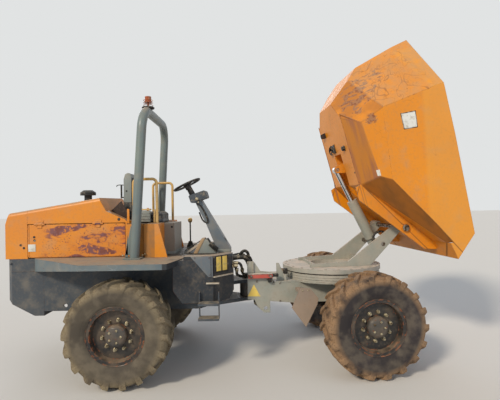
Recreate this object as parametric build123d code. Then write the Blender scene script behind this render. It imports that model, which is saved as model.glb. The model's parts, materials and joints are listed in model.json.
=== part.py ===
from build123d import *
import os
from math import atan2, cos, degrees, hypot, radians, sin

# Articulated site dumper with a slewing, forward tipping skip.
# Millimetres, +X forward, +Y to the machine's left, +Z up, ground at Z = 0.
# Everything is laid out on a straight machine with the rear axle at X = 0,
# then the front unit is steered and the skip is raised to the parked pose.

# Running gear
WHEELBASE = 2516
TRACK = 1850
TYRE_DIAMETER = 1075
TYRE_WIDTH = 405
LUG_HEIGHT = 32
LUGS_PER_SIDE = 11
LUG_WIDTH = 50
LUG_SKEW = 46
LUG_ROOT = 12
RIM_SEAT_RADIUS = 254
RIM_FLANGE_RADIUS = 286
RIM_WIDTH = 330
RIM_WALL = 12
BEAD_SETBACK = 13
DISC_SETBACK = 70
HUB_RADIUS = 105
HUB_LENGTH = 150
AXLE_TUBE_RADIUS = 88
DIFF_RADIUS = 185
AXLE_HEIGHT = TYRE_DIAMETER / 2

# Fits and clearances
RUN_GAP = 6
SEAT_GAP = 0.3
PIN_CLEARANCE = 0.3
FAR = 3000
PLATE = 20
SHEET = 8

# Rear chassis and the steering pivot
PIVOT_X = 1280
PIVOT_Z = 770
STEER_AT_REST = 6
STEER_LIMIT = 33
OSCILLATE_LIMIT = 10
BODY_HALF = 450
CHASSIS_REAR = -1000
CHASSIS_FRONT = 960
CHASSIS_BOTTOM = 640
DECK_Z = 1240
LUG_PLATE = 40
HEAD_HALF = 300
LUG_RADIUS = 110
LINK_HEIGHT = 170
LINK_RADIUS = 80
KING_PIN_RADIUS = 30
SPIGOT_RADIUS = 55

# Counterweight and bonnet
TAIL_X = -1430
HEEL_X = -1110
TAIL_CORNER = 70
COUNTERWEIGHT_FRONT = CHASSIS_REAR - SEAT_GAP
COUNTERWEIGHT_BOTTOM = 590
COUNTERWEIGHT_STEP = 760
CAP_FRONT = -1180
TOW_JAW_Z = 820
TOW_JAW = 90
TOW_PLATE = 40
TOW_HALF = 100
TOW_DEPTH = 150
TOW_SETBACK = 65
TOW_PIN_HOLE = 33
BAY_FLOOR_Z = 880
ENGINE_REAR = -980
ENGINE_FRONT = -330
ENGINE_HALF = 240
ENGINE_TOP = 1480
AXLE_SEAT_HALF = 110
AXLE_SEAT_INNER = 250
CLEANER_X = -660
CLEANER_STEM = 45
CLEANER_BOWL = 92
CLEANER_Z = 1950
BONNET_SKIN = 20
BONNET_SEAM_Z = 1625
BONNET_TAIL_Z = 1750
BONNET_PEAK_X = -370
BONNET_PEAK_Z = 1910
BONNET_KNEE_X = -286
BONNET_KNEE_Z = 1758
BONNET_NOSE_X = -50
BONNET_NOSE_Z = 1640
DOOR_THICKNESS = 18
DOOR_GAP = 4
DOOR_SWING = 80
DOOR_HINGE_RADIUS = 9
DOOR_HINGE_OUT = 6
DOOR_HINGE_LENGTH = 60
DOOR_HINGES = (-1040, -380)

# Deck, mudguards and operator's station
GUARD_HALF = 1100
GUARD_REAR = -1100
GUARD_SIDE_REAR = -340
GUARD_SIDE_FRONT = 520
GUARD_NOSE = 640
GUARD_NOSE_HALF = 560
GUARD_LIP = 58
GUARD_TAIL_LIP = 150
PLATFORM_HALF = 850
PLATFORM_REAR = GUARD_NOSE - 10
PLATFORM_FRONT = 1150
PLATFORM_THICKNESS = 30
STATION_REAR = -40
FLOOR_Z = DECK_Z + PLATFORM_THICKNESS + 2 * SEAT_GAP
TANK_REAR = 530
TANK_FRONT = 1140
TANK_BOTTOM = 790
TANK_HALF = 835
STEP_REAR = 800
STEP_DEPTH = 210
STEP_PLATE = 22
STEP_WIDTH = 130
STEP_HEIGHTS = (640, 790)

# Roll-over hoop
HOOP_TUBE = 102
HOOP_HALF = 640
HOOP_TOP_HALF = 600
HOOP_BASE_X = 75
HOOP_TOP_X = 185
HOOP_TOP_Z = 2940
HOOP_BEND = 240
RAIL_TUBE = 32
RAIL_REAR_X = 35
RAIL_FRONT_X = 296
RAIL_Y = 475
RAIL_TOP_Z = 2111
RAIL_BEND = 50
BEACON_Y = 350
BEACON_STEM = 60
BEACON_HEIGHT = 130
BEACON_RADIUS = 36

# Operator's seat, its box and the cowls beside it
CONSOLE_REAR = -40
CONSOLE_STEP_X = 170
CONSOLE_FRONT = 330
CONSOLE_TOP = 1610
CONSOLE_REAR_HALF = 545
CONSOLE_HALF = 575
CONSOLE_INNER = 256
CONSOLE_GUSSET = 95
SEAT_BOX_REAR = -30
SEAT_BOX_FRONT = 447
SEAT_BOX_HALF = 250
SEAT_BOX_TOP = 1600
SEAT_HALF = 240
SEAT_FRONT = 300
CUSHION_LOW = SEAT_BOX_TOP + 12
CUSHION_TOP = 1730
BACK_HALF = 220
BACK_FRONT = -58
BACK_REAR = -155
BACK_TOP = 2208

# Steering position
WHEEL_CENTRE_X = 566
WHEEL_CENTRE_Z = 2060
WHEEL_RADIUS = 180
WHEEL_GRIP = 14
WHEEL_TILT = 25
DASH_X = 715
DASH_Z = 1908
DASH_TILT = 18
DASH_LENGTH = 208
DASH_WIDTH = 300
DASH_HEIGHT = 98
COLUMN_HALF = 105
LEVER_X = 560
LEVER_Y = 260
LEVER_TOP = 1612
PEDAL_WIDTH = 110
PEDAL_TOP_X = 757
PEDAL_TOP = 1390
FOOTREST_TOP = 1408

# Front chassis
FRONT_HALF = 350
FRONT_REAR = PIVOT_X - 18
FRONT_INNER = FRONT_HALF - PLATE
FRONT_NOSE = WHEELBASE + 344
FRONT_TOP = 905
RING_DECK = 15
FRONT_BOTTOM = 650
TOWER_TOP = 1145
SHOULDER_Z = 1015
LASHING_X = PIVOT_X + 190
LASHING_Z = 600
LASHING_HOLE = 44
REAR_LASHING_X = -760
REAR_LASHING_Z = 700

# Slewing turntable
SLEW_X = WHEELBASE - 166
SLEW_LIMIT = 90
RING_RADIUS = 600
RING_BORE = 290
RING_TOP = 985
TABLE_BOTTOM = 1000
TABLE_TOP = 1050
ARM_OUTER = 330
ARM_PLATE = 30

# Skip hinge and tipping ram
TIP_ANGLE = 75
HINGE_X = SLEW_X + 757
HINGE_Z = 1502
HINGE_PIN = 50
BOSS_RADIUS = 48
HINGE_U = 1980
FLANGE_INNER = 470
HINGE_H = 380
RAM_BASE_X = HINGE_X - 202
RAM_BASE_Z = 1300
RAM_BORE_TUBE = 130
RAM_BARREL = 586
RAM_ROD = 70
RAM_PIN = 50
EYE_U = 1120
EYE_H = -70
EYE_RADIUS = 42
EYE_HALF = 38

# Skip shell: floor bends, ridges and rim, in the skip's own u, v and h
SKIP_WALL = 8
SKIP_DEPTH = 980
SKIP_HALF = 1000
SKIP_NOSE_HALF = 870
SIDE_U = 535
SKIP_NOSE_U = 2200
SKIP_TAIL_U = -115
TAIL_HALF = 530
FLOOR_HALF = 450
FLOOR_REAR = 336
FLOOR_FRONT = 1350
RIDGE_HALF = 750
RIDGE_H = 100
SPOUT_U = 2215
SPOUT_H = 655
LIP_LENGTH = 195
LIP_U = SPOUT_U + LIP_LENGTH
LIP_H = 700
RIM_DIP_U = 1085
RIM_NOSE_U = 2190
RIM_NOSE_H = 950
TUNNEL_HALF = 120
TUNNEL_REAR = 940
TUNNEL_FRONT = 1700
TUNNEL_TOP = 135

# Skip sheets of the left side, each through three points given as u, v and h
SKIP_SHEETS = (
    ("floor", (0, 0, 0), (1000, 0, 0), (0, 400, 0)),
    ("floor side", (500, FLOOR_HALF, 0), (1300, FLOOR_HALF, 0), (1300, RIDGE_HALF, RIDGE_H)),
    ("lower side", (650, RIDGE_HALF - 10, RIDGE_H), (1310, RIDGE_HALF + 25, RIDGE_H), (606, 955, 280)),
    ("side", (606, 955, 280), (548, SKIP_HALF, 820), (1450, 930, 660)),
    ("side band", (SIDE_U, SKIP_HALF, 0), (SKIP_NOSE_U, SKIP_NOSE_HALF, 0), (SIDE_U, SKIP_HALF, 900)),
    ("corner band", (SKIP_TAIL_U, TAIL_HALF, 0), (SIDE_U, SKIP_HALF, 0), (SIDE_U, SKIP_HALF, 900)),
    ("upper corner", (-65, 566, 760), (606, 955, 280), (548, SKIP_HALF, 820)),
    ("middle corner", (-65, 566, 760), (606, 955, 280), (10, 360, 370)),
    ("lower corner", (300, 300, 60), (650, 680, 80), (606, 955, 280)),
    ("upper tail", (10, 0, 370), (10, 400, 370), (SKIP_TAIL_U, 0, SKIP_DEPTH)),
    ("lower tail", (FLOOR_REAR, 0, 0), (FLOOR_REAR, 400, 0), (10, 0, 370)),
    ("spout", (FLOOR_FRONT, 0, 0), (FLOOR_FRONT, 400, 0), (SPOUT_U, 0, SPOUT_H)),
    ("spout side", (FLOOR_FRONT, FLOOR_HALF + 20, 0), (1310, 780, 110), (2120, 880, 636)),
)

SIDES = (("right", -1), ("left", 1))


# Shape helpers
def block(x0, x1, y0, y1, z0, z1):
    body = Box(x1 - x0, y1 - y0, z1 - z0)
    return Pos((x0 + x1) / 2, (y0 + y1) / 2, (z0 + z1) / 2) * body


def side_plate(points, y0, y1):
    face = Plane.XZ * make_face(Polyline(*points, close=True))
    return Pos(0, y0, 0) * extrude(face, y1 - y0, dir=(0, 1, 0))


def flat_plate(points, z0, z1):
    face = make_face(Polyline(*points, close=True))
    return Pos(0, 0, z0) * extrude(face, z1 - z0, dir=(0, 0, 1))


def cross_bar(x, z, radius, y0, y1):
    bar = extrude(Plane.XZ * Circle(radius), y1 - y0, dir=(0, 1, 0))
    return Pos(x, y0, z) * bar


def upright(x, y, radius, z0, z1):
    return Pos(x, y, z0) * extrude(Circle(radius), z1 - z0)


def long_bar(y, z, radius, x0, x1):
    bar = extrude(Plane.YZ * Circle(radius), x1 - x0, dir=(1, 0, 0))
    return Pos(x0, y, z) * bar


def rod_between(start, end, radius):
    axis = Vector(*end) - Vector(*start)
    return extrude(Plane(start, z_dir=axis) * Circle(radius), axis.length)


def tube_along(points, bends, radius):
    path = FilletPolyline(*points, radius=bends)
    start = Plane(path @ 0, z_dir=path % 0)
    return sweep(start * Circle(radius), path=path)


def both_sides(shape):
    return shape + mirror(shape, about=Plane.XZ)


# Wheels
def tyre():
    half = TYRE_WIDTH / 2
    tread = TYRE_DIAMETER / 2 - LUG_HEIGHT
    bulge = 420
    bead = RIM_WIDTH / 2 - RIM_WALL - BEAD_SETBACK
    profile = Polyline(
        (RIM_SEAT_RADIUS + 1, -bead),
        (bulge, -half),
        (tread, -half + 24),
        (tread, half - 24),
        (bulge, half),
        (RIM_SEAT_RADIUS + 1, bead),
        close=True,
    )
    carcass = revolve(make_face(profile), Axis.Y)
    lugs = []
    pitch = 360 / LUGS_PER_SIDE
    for index in range(LUGS_PER_SIDE):
        for side in (-1, 1):
            turn = pitch * (index + side / 4)
            lugs.append(Rot(0, turn, 0) * tread_lug(side))
    return carcass + lugs


def tread_lug(side):
    root = TYRE_DIAMETER / 2 - LUG_HEIGHT - LUG_ROOT
    half = TYRE_WIDTH / 2
    skew = LUG_SKEW
    reach = LUG_WIDTH / 2 + skew
    crown = (TYRE_DIAMETER ** 2 / 4 - reach ** 2) ** 0.5
    plan = Polyline(
        (-LUG_WIDTH / 2 - skew, side * half),
        (LUG_WIDTH / 2 - skew, side * half),
        (LUG_WIDTH / 2 + skew, side * 14),
        (-LUG_WIDTH / 2 + skew, side * 14),
        close=True,
    )
    return Pos(0, 0, root) * extrude(make_face(plan), crown - root, dir=(0, 0, 1))


def rim(side):
    outer = side * RIM_WIDTH / 2
    inner = -outer
    disc = outer - side * DISC_SETBACK
    edge = side * RIM_WALL
    profile = Polyline(
        (HUB_RADIUS + 2, disc),
        (RIM_SEAT_RADIUS - RIM_WALL, disc),
        (RIM_SEAT_RADIUS, outer),
        (RIM_FLANGE_RADIUS, outer),
        (RIM_FLANGE_RADIUS, outer - edge),
        (RIM_SEAT_RADIUS, outer - edge),
        (RIM_SEAT_RADIUS, inner + edge),
        (RIM_FLANGE_RADIUS, inner + edge),
        (RIM_FLANGE_RADIUS, inner),
        (RIM_SEAT_RADIUS - RIM_WALL, inner),
        (RIM_SEAT_RADIUS - RIM_WALL, disc - edge),
        (HUB_RADIUS + 2, disc - edge),
        close=True,
    )
    return revolve(make_face(profile), Axis.Y)


def hub(side):
    disc = side * (RIM_WIDTH / 2 - DISC_SETBACK)
    nose = disc + side * 45
    inner = disc - side * (HUB_LENGTH - 45)
    barrel = cross_bar(0, 0, HUB_RADIUS, min(nose, inner), max(nose, inner))
    flange_face = disc - side * RIM_WALL
    flange_back = flange_face - side * 18
    low = min(flange_face, flange_back)
    high = max(flange_face, flange_back)
    flange = cross_bar(0, 0, 190, low, high)
    return barrel + flange


def axle():
    hub_back = TRACK / 2 + RIM_WIDTH / 2 - DISC_SETBACK - (HUB_LENGTH - 45) - SEAT_GAP
    beam = cross_bar(0, AXLE_HEIGHT, AXLE_TUBE_RADIUS, -hub_back, hub_back)
    bowl = Pos(0, 0, AXLE_HEIGHT) * Sphere(DIFF_RADIUS)
    bowl = bowl & block(-300, 300, -150, 150, 0, AXLE_HEIGHT + 95)
    pads = both_sides(block(-90, 90, 250, 345, AXLE_HEIGHT, CHASSIS_BOTTOM - SEAT_GAP))
    return beam + bowl + pads


def front_axle():
    shape = axle()
    pads = both_sides(block(-90, 90, 250, 345, AXLE_HEIGHT + 60, FRONT_BOTTOM - SEAT_GAP))
    return shape + pads


# Rear unit
def rear_chassis():
    outline = (
        (CHASSIS_REAR, CHASSIS_BOTTOM),
        (CHASSIS_REAR, DECK_Z - SHEET),
        (CHASSIS_FRONT, DECK_Z - SHEET),
        (CHASSIS_FRONT, CHASSIS_BOTTOM + 60),
        (CHASSIS_FRONT - 200, CHASSIS_BOTTOM),
    )
    side = side_plate(outline, BODY_HALF - PLATE, BODY_HALF)
    frame = both_sides(side)
    frame += block(CHASSIS_REAR, ENGINE_FRONT + 30, -BODY_HALF, BODY_HALF, BAY_FLOOR_Z, BAY_FLOOR_Z + PLATE)
    top = DECK_Z - SHEET
    frame += block(STATION_REAR, CHASSIS_FRONT, -BODY_HALF, BODY_HALF, top - PLATE, top)
    head_rear = CHASSIS_FRONT - PLATE
    lug_low = PIVOT_Z - LINK_HEIGHT / 2 - 2 - LUG_PLATE
    frame += block(head_rear, CHASSIS_FRONT, -BODY_HALF, BODY_HALF, CHASSIS_BOTTOM + 60, top)
    frame += block(head_rear, CHASSIS_FRONT, -HEAD_HALF, HEAD_HALF, lug_low, top)
    half = AXLE_SEAT_HALF
    inner = AXLE_SEAT_INNER
    frame += both_sides(block(-half, half, inner, BODY_HALF, CHASSIS_BOTTOM, CHASSIS_BOTTOM + PLATE))
    frame += both_sides(block(-half, half, inner, inner + PLATE, CHASSIS_BOTTOM, top))
    frame += block(STATION_REAR, STATION_REAR + PLATE, -BODY_HALF, BODY_HALF, BAY_FLOOR_Z, top)
    for level in (PIVOT_Z + LINK_HEIGHT / 2 + 2, lug_low):
        frame += pivot_lug(level)
    reach = BODY_HALF + 1
    frame -= cross_bar(REAR_LASHING_X, REAR_LASHING_Z, LASHING_HOLE / 2, -reach, reach)
    return frame


def pivot_lug(level):
    outline = (
        (CHASSIS_FRONT, -HEAD_HALF),
        (PIVOT_X, -LUG_RADIUS),
        (PIVOT_X, LUG_RADIUS),
        (CHASSIS_FRONT, HEAD_HALF),
    )
    lug = flat_plate(outline, level, level + LUG_PLATE)
    lug += upright(PIVOT_X, 0, LUG_RADIUS, level, level + LUG_PLATE)
    lug -= upright(PIVOT_X, 0, KING_PIN_RADIUS + PIN_CLEARANCE, level - 1, level + LUG_PLATE + 1)
    return lug


def king_pins():
    low = PIVOT_Z - LINK_HEIGHT / 2 - 2 - LUG_PLATE - 12
    high = PIVOT_Z + LINK_HEIGHT / 2 + 2 + LUG_PLATE + SEAT_GAP
    pin = upright(PIVOT_X, 0, KING_PIN_RADIUS, low, high + 14)
    return pin + upright(PIVOT_X, 0, KING_PIN_RADIUS + 22, high, high + 14)


def counterweight():
    outline = (
        (TAIL_X, DECK_Z - SHEET),
        (TAIL_X, COUNTERWEIGHT_STEP),
        (HEEL_X, COUNTERWEIGHT_BOTTOM),
        (COUNTERWEIGHT_FRONT, COUNTERWEIGHT_BOTTOM),
        (COUNTERWEIGHT_FRONT, DECK_Z - SHEET),
    )
    mass = side_plate(outline, -BODY_HALF, BODY_HALF)
    corners = mass.edges().filter_by(Axis.Z).group_by(Axis.X)[0]
    mass = chamfer(corners, TAIL_CORNER)
    back = TAIL_X + TOW_DEPTH
    mass -= block(TAIL_X - 10, back, -TOW_HALF, TOW_HALF, TOW_JAW_Z, TOW_JAW_Z + TOW_JAW)
    plate_top = TOW_JAW_Z + TOW_JAW + TOW_PLATE
    mass -= block(TAIL_X - 10, back, -TOW_HALF, TOW_HALF, plate_top, DECK_Z)
    mass -= upright(TAIL_X + TOW_SETBACK, 0, TOW_PIN_HOLE / 2, COUNTERWEIGHT_BOTTOM, plate_top + 1)
    return mass


def engine_block():
    low = BAY_FLOOR_Z + PLATE + SEAT_GAP
    return block(ENGINE_REAR, ENGINE_FRONT, -ENGINE_HALF, ENGINE_HALF, low, ENGINE_TOP)


def bonnet_outline(inset):
    tail = TAIL_X + inset
    base = DECK_Z - SHEET + SEAT_GAP
    return (
        (tail, base),
        (tail, BONNET_SEAM_Z),
        (tail + 40, BONNET_TAIL_Z - inset),
        (BONNET_PEAK_X - inset * 0.4, BONNET_PEAK_Z - inset),
        (BONNET_KNEE_X - inset * 0.8, BONNET_KNEE_Z - inset * 0.6),
        (BONNET_NOSE_X - inset, BONNET_NOSE_Z - inset * 0.6),
        (BONNET_NOSE_X - inset, base),
    )


def bonnet_shell():
    outer = side_plate(bonnet_outline(0), -BODY_HALF, BODY_HALF)
    long_edges = outer.edges().filter_by(lambda e: abs(e.tangent_at(0.5).Y) < 0.01)
    top_edges = long_edges.filter_by(lambda e: e.center().Z > BONNET_TAIL_Z and e.center().X < BONNET_PEAK_X)
    outer = fillet(top_edges, 45)
    half = BODY_HALF - BONNET_SKIN
    inner = side_plate(bonnet_outline(BONNET_SKIN), -half, half)
    inner += Pos(0, 0, -30) * side_plate(bonnet_outline(BONNET_SKIN), -half, half)
    return outer - inner


def door_space(grow):
    x0 = CAP_FRONT + DOOR_GAP - grow
    x1 = BONNET_NOSE_X - 20 - DOOR_GAP + grow
    z0 = DECK_Z + DOOR_GAP - grow
    z1 = BONNET_SEAM_Z - DOOR_GAP + grow
    return x0, x1, z0, z1


def hinge_axis():
    return BODY_HALF + DOOR_HINGE_OUT, BONNET_SEAM_Z - DOOR_GAP


def door_knuckles(radius, ends):
    y, z = hinge_axis()
    knuckles = None
    for x in DOOR_HINGES:
        for low, high in ends:
            barrel = long_bar(y, z, radius, x + low, x + high)
            knuckles = barrel if knuckles is None else knuckles + barrel
    return knuckles


def bonnet_cover():
    shell = bonnet_shell()
    shell &= block(CAP_FRONT + SEAT_GAP, FAR, -FAR, FAR, 0, FAR)
    x0, x1, z0, z1 = door_space(DOOR_GAP)
    shell -= block(x0 - 1, x1, -FAR, FAR, 0, z1)
    half = DOOR_HINGE_LENGTH / 2
    shell -= both_sides(door_knuckles(DOOR_HINGE_RADIUS + 2, ((-half, half),)))
    outer = half + DOOR_HINGE_LENGTH / 2
    ends = ((-outer, -half - SEAT_GAP), (half + SEAT_GAP, outer))
    shell += both_sides(door_knuckles(DOOR_HINGE_RADIUS, ends))
    return shell


def bonnet_cap():
    shell = bonnet_shell()
    return shell & block(-FAR, CAP_FRONT, -FAR, FAR, 0, FAR)


def bonnet_door():
    x0, x1, z0, z1 = door_space(0)
    panel = block(x0, x1, BODY_HALF - DOOR_THICKNESS, BODY_HALF, z0, z1 - 3)
    panel = chamfer(panel.edges().filter_by(Axis.Y), 12)
    half = DOOR_HINGE_LENGTH / 2
    outer = half + DOOR_HINGE_LENGTH / 2 + 2
    panel -= door_knuckles(DOOR_HINGE_RADIUS + 2, ((-outer, outer),))
    strap_ends = ((-half + SEAT_GAP, half - SEAT_GAP),)
    panel += door_knuckles(DOOR_HINGE_RADIUS, strap_ends)
    y, z = hinge_axis()
    for x in DOOR_HINGES:
        strap = block(x - half + 4, x + half - 4, BODY_HALF - 6, y, z - 45, z)
        panel += strap
    return panel


def pre_cleaner():
    rim = CLEANER_Z + 35
    stem = upright(CLEANER_X, 0, CLEANER_STEM, CLEANER_Z - 110, CLEANER_Z)
    stem -= Pos(0, 0, SEAT_GAP) * side_plate(bonnet_outline(0), -BODY_HALF, BODY_HALF)
    bowl = upright(CLEANER_X, 0, CLEANER_BOWL, CLEANER_Z, rim)
    upward = (Align.CENTER, Align.CENTER, Align.MIN)
    cap = Pos(CLEANER_X, 0, rim) * Cone(CLEANER_BOWL, CLEANER_BOWL * 0.6, 28, align=upward)
    return stem + bowl + cap


def guard_outline(half):
    inner = BODY_HALF + 2
    return (
        (GUARD_REAR, inner),
        (GUARD_REAR + 40, inner + 60),
        (GUARD_SIDE_REAR, half),
        (GUARD_SIDE_FRONT, half),
        (GUARD_NOSE, GUARD_NOSE_HALF),
        (GUARD_NOSE, inner),
    )


def mudguard():
    outline = guard_outline(GUARD_HALF)
    deck = flat_plate(outline, DECK_Z - SHEET, DECK_Z)
    face = make_face(Polyline(*outline, close=True))
    ring = face - offset(face, amount=-SHEET, kind=Kind.INTERSECTION)
    skirt = Pos(0, 0, DECK_Z - GUARD_TAIL_LIP) * extrude(ring, GUARD_TAIL_LIP)
    skirt -= block(-FAR, FAR, 0, BODY_HALF + 2 + SHEET, 0, FAR)
    skirt -= block(TANK_REAR - SEAT_GAP, FAR, 0, TANK_HALF + SEAT_GAP, 0, FAR)
    under = (
        (GUARD_REAR - 10, DECK_Z - GUARD_TAIL_LIP - 10),
        (GUARD_REAR - 10, DECK_Z - GUARD_TAIL_LIP),
        (GUARD_SIDE_REAR, DECK_Z - GUARD_LIP),
        (FAR, DECK_Z - GUARD_LIP),
        (FAR, DECK_Z - GUARD_TAIL_LIP - 10),
    )
    skirt -= side_plate(under, 0, FAR)
    return deck + skirt


def platform():
    z0 = DECK_Z + SEAT_GAP
    z1 = z0 + PLATFORM_THICKNESS
    wide = block(PLATFORM_REAR, PLATFORM_FRONT, -PLATFORM_HALF, PLATFORM_HALF, z0, z1)
    narrow = block(STATION_REAR, PLATFORM_REAR + 1, -BODY_HALF, BODY_HALF, z0, z1)
    return wide + narrow


def side_tank():
    under_guard = DECK_Z - SHEET - SEAT_GAP
    step_x = GUARD_NOSE + 2
    outline = (
        (TANK_REAR, under_guard),
        (TANK_REAR, TANK_BOTTOM + 130),
        (TANK_REAR + 90, TANK_BOTTOM),
        (TANK_FRONT - 40, TANK_BOTTOM),
        (TANK_FRONT, TANK_BOTTOM + 60),
        (TANK_FRONT, DECK_Z),
        (step_x, DECK_Z),
        (step_x, under_guard),
    )
    return side_plate(outline, BODY_HALF + SEAT_GAP, TANK_HALF)


def steps():
    ladder = None
    y0 = TANK_HALF + SEAT_GAP
    y1 = y0 + STEP_WIDTH
    front = STEP_REAR + STEP_DEPTH
    for level in STEP_HEIGHTS:
        tread = block(STEP_REAR, front, y0, y1, level, level + STEP_PLATE)
        ladder = tread if ladder is None else ladder + tread
    for x in (STEP_REAR, front - 10):
        ladder += block(x, x + 10, y0, y0 + 40, STEP_HEIGHTS[0], TANK_BOTTOM + 120)
    return ladder


def seat_console():
    z0 = DECK_Z + SEAT_GAP
    outer = BODY_HALF + 2
    cowl = block(CONSOLE_STEP_X, CONSOLE_FRONT, outer, CONSOLE_HALF, z0, CONSOLE_TOP)
    cowl += block(CONSOLE_STEP_X, CONSOLE_FRONT, CONSOLE_INNER, outer + 1, FLOOR_Z, CONSOLE_TOP)
    cowl += block(CONSOLE_REAR, CONSOLE_STEP_X + 1, outer, CONSOLE_REAR_HALF, z0, CONSOLE_TOP)
    slope = ((CONSOLE_FRONT, z0), (CONSOLE_FRONT, CONSOLE_TOP), (CONSOLE_FRONT + CONSOLE_GUSSET, z0))
    gusset = side_plate(slope, CONSOLE_HALF - 12, CONSOLE_HALF)
    return both_sides(cowl + gusset)


def seat_box():
    return block(SEAT_BOX_REAR, SEAT_BOX_FRONT, -SEAT_BOX_HALF, SEAT_BOX_HALF, FLOOR_Z, SEAT_BOX_TOP)


def seat():
    rear = STATION_REAR
    cushion = block(rear, SEAT_FRONT, -SEAT_HALF, SEAT_HALF, CUSHION_LOW, CUSHION_TOP)
    cushion = fillet(cushion.edges().filter_by(Axis.Z), 50)
    back_outline = (
        (0, CUSHION_LOW + 48),
        (rear, CUSHION_LOW + 50),
        (BACK_REAR, CUSHION_LOW + 105),
        (BACK_REAR, BACK_TOP - 40),
        (BACK_REAR + 25, BACK_TOP),
        (BACK_FRONT - 15, BACK_TOP),
        (BACK_FRONT, BACK_TOP - 25),
        (BACK_FRONT, CUSHION_TOP + 30),
        (0, CUSHION_TOP - 20),
    )
    back = side_plate(back_outline, -BACK_HALF, BACK_HALF)
    half = SEAT_HALF - 10
    low = SEAT_BOX_TOP + SEAT_GAP
    pan = block(SEAT_BOX_REAR, SEAT_FRONT - 10, -half, half, low, CUSHION_LOW + 1)
    return cushion + back + pan


def hoop():
    tube = HOOP_TUBE / 2
    z0 = DECK_Z + SEAT_GAP
    top = HOOP_TOP_Z - tube
    foot = z0 - tube
    points = (
        (HOOP_BASE_X, -HOOP_HALF, foot),
        (HOOP_TOP_X, -HOOP_TOP_HALF, top),
        (HOOP_TOP_X, HOOP_TOP_HALF, top),
        (HOOP_BASE_X, HOOP_HALF, foot),
    )
    hoop_tube = tube_along(points, HOOP_BEND, tube)
    return hoop_tube & block(-FAR, FAR, -FAR, FAR, z0, FAR)


def hoop_feet():
    z0 = DECK_Z + SEAT_GAP
    top = z0 + 12
    half = 90
    rear = HOOP_BASE_X - half - 5
    foot = block(rear, HOOP_BASE_X + half, HOOP_HALF - half, HOOP_HALF + half, z0, top)
    gusset_outline = ((rear, top), (rear + 31, top), (rear + 31, z0 + 250))
    gusset = side_plate(gusset_outline, HOOP_HALF - 6, HOOP_HALF + 6)
    cut = upright(HOOP_BASE_X + 4, HOOP_HALF, HOOP_TUBE / 2 + 6, z0 - 5, z0 + 500)
    return both_sides(foot + gusset - cut)


def beacon():
    x = HOOP_TOP_X
    y = -BEACON_Y
    base_z = HOOP_TOP_Z + BEACON_STEM
    stem = upright(x, y, BEACON_RADIUS / 3, HOOP_TOP_Z + SEAT_GAP, base_z)
    base = upright(x, y, BEACON_RADIUS + 6, base_z, base_z + 15)
    lens = upright(x, y, BEACON_RADIUS, base_z + 15, HOOP_TOP_Z + BEACON_HEIGHT)
    return stem + base + lens


def handrail():
    foot = CONSOLE_TOP + SEAT_GAP
    points = (
        (RAIL_REAR_X, RAIL_Y, foot),
        (RAIL_REAR_X, RAIL_Y, RAIL_TOP_Z),
        (RAIL_FRONT_X, RAIL_Y, RAIL_TOP_Z),
        (RAIL_FRONT_X, RAIL_Y, foot),
    )
    return tube_along(points, RAIL_BEND, RAIL_TUBE / 2)


def steering_column():
    outline = (
        (930, FLOOR_Z),
        (812, 1562),
        (DASH_X - 35, DASH_Z - 70),
        (DASH_X - 28, DASH_Z - 30),
        (DASH_X + 28, DASH_Z - 30),
        (DASH_X + 51, DASH_Z - 70),
        (969, 1494),
        (1098, FLOOR_Z),
    )
    tower = side_plate(outline, -COLUMN_HALF, COLUMN_HALF)
    return tower - Pos(0, 0, -SEAT_GAP) * dash_case()


def dash_case():
    box = Box(DASH_LENGTH, DASH_WIDTH, DASH_HEIGHT)
    box = chamfer(box.edges().filter_by(Axis.Y), 12)
    return Pos(DASH_X, 0, DASH_Z) * Rot(0, -DASH_TILT, 0) * box


def dash_box():
    return dash_case() + steering_stub()


def steering_shaft_direction():
    return Vector(-sin(radians(WHEEL_TILT)), 0, cos(radians(WHEEL_TILT)))


def steering_wheel():
    grip = Plane.XZ * Pos(WHEEL_RADIUS - WHEEL_GRIP, 0) * RegularPolygon(WHEEL_GRIP, 8)
    ring = revolve(grip, Axis.Z)
    hub_disc = Pos(0, 0, -35) * Cylinder(38, 46)
    wheel = ring + hub_disc
    for turn in (0, 120, 240):
        spoke = Pos((WHEEL_RADIUS - WHEEL_GRIP) / 2, 0, -8) * Box(WHEEL_RADIUS - WHEEL_GRIP, 26, 8)
        wheel += Rot(0, 0, turn + 60) * spoke
    tilt = Rot(0, -WHEEL_TILT, 0)
    return Pos(WHEEL_CENTRE_X, 0, WHEEL_CENTRE_Z) * tilt * wheel


def steering_stub():
    direction = steering_shaft_direction()
    top = Vector(WHEEL_CENTRE_X, 0, WHEEL_CENTRE_Z) - direction * (58 + SEAT_GAP)
    foot = top - direction * 135
    return rod_between((top.X, top.Y, top.Z), (foot.X, foot.Y, foot.Z), 28)


def gear_lever():
    lever = rod_between((LEVER_X, LEVER_Y, FLOOR_Z + 10), (LEVER_X, LEVER_Y, LEVER_TOP), 9)
    upward = (Align.CENTER, Align.CENTER, Align.MIN)
    boot = Pos(LEVER_X, LEVER_Y, FLOOR_Z) * Cone(45, 16, 70, align=upward)
    knob = Pos(LEVER_X, LEVER_Y, LEVER_TOP) * Sphere(24)
    return lever + boot + knob


def pedals():
    y1 = -COLUMN_HALF - SEAT_GAP
    y0 = y1 - PEDAL_WIDTH
    rest = ((690, FLOOR_Z), (815, FOOTREST_TOP), (832, FOOTREST_TOP), (925, FLOOR_Z))
    footrest = side_plate(rest, y0 - 20, y1)
    tread = ((556, FLOOR_Z), (PEDAL_TOP_X - 8, PEDAL_TOP), (PEDAL_TOP_X, PEDAL_TOP - 10), (574, FLOOR_Z))
    return footrest + side_plate(tread, y0, y1 - 12)


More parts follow.
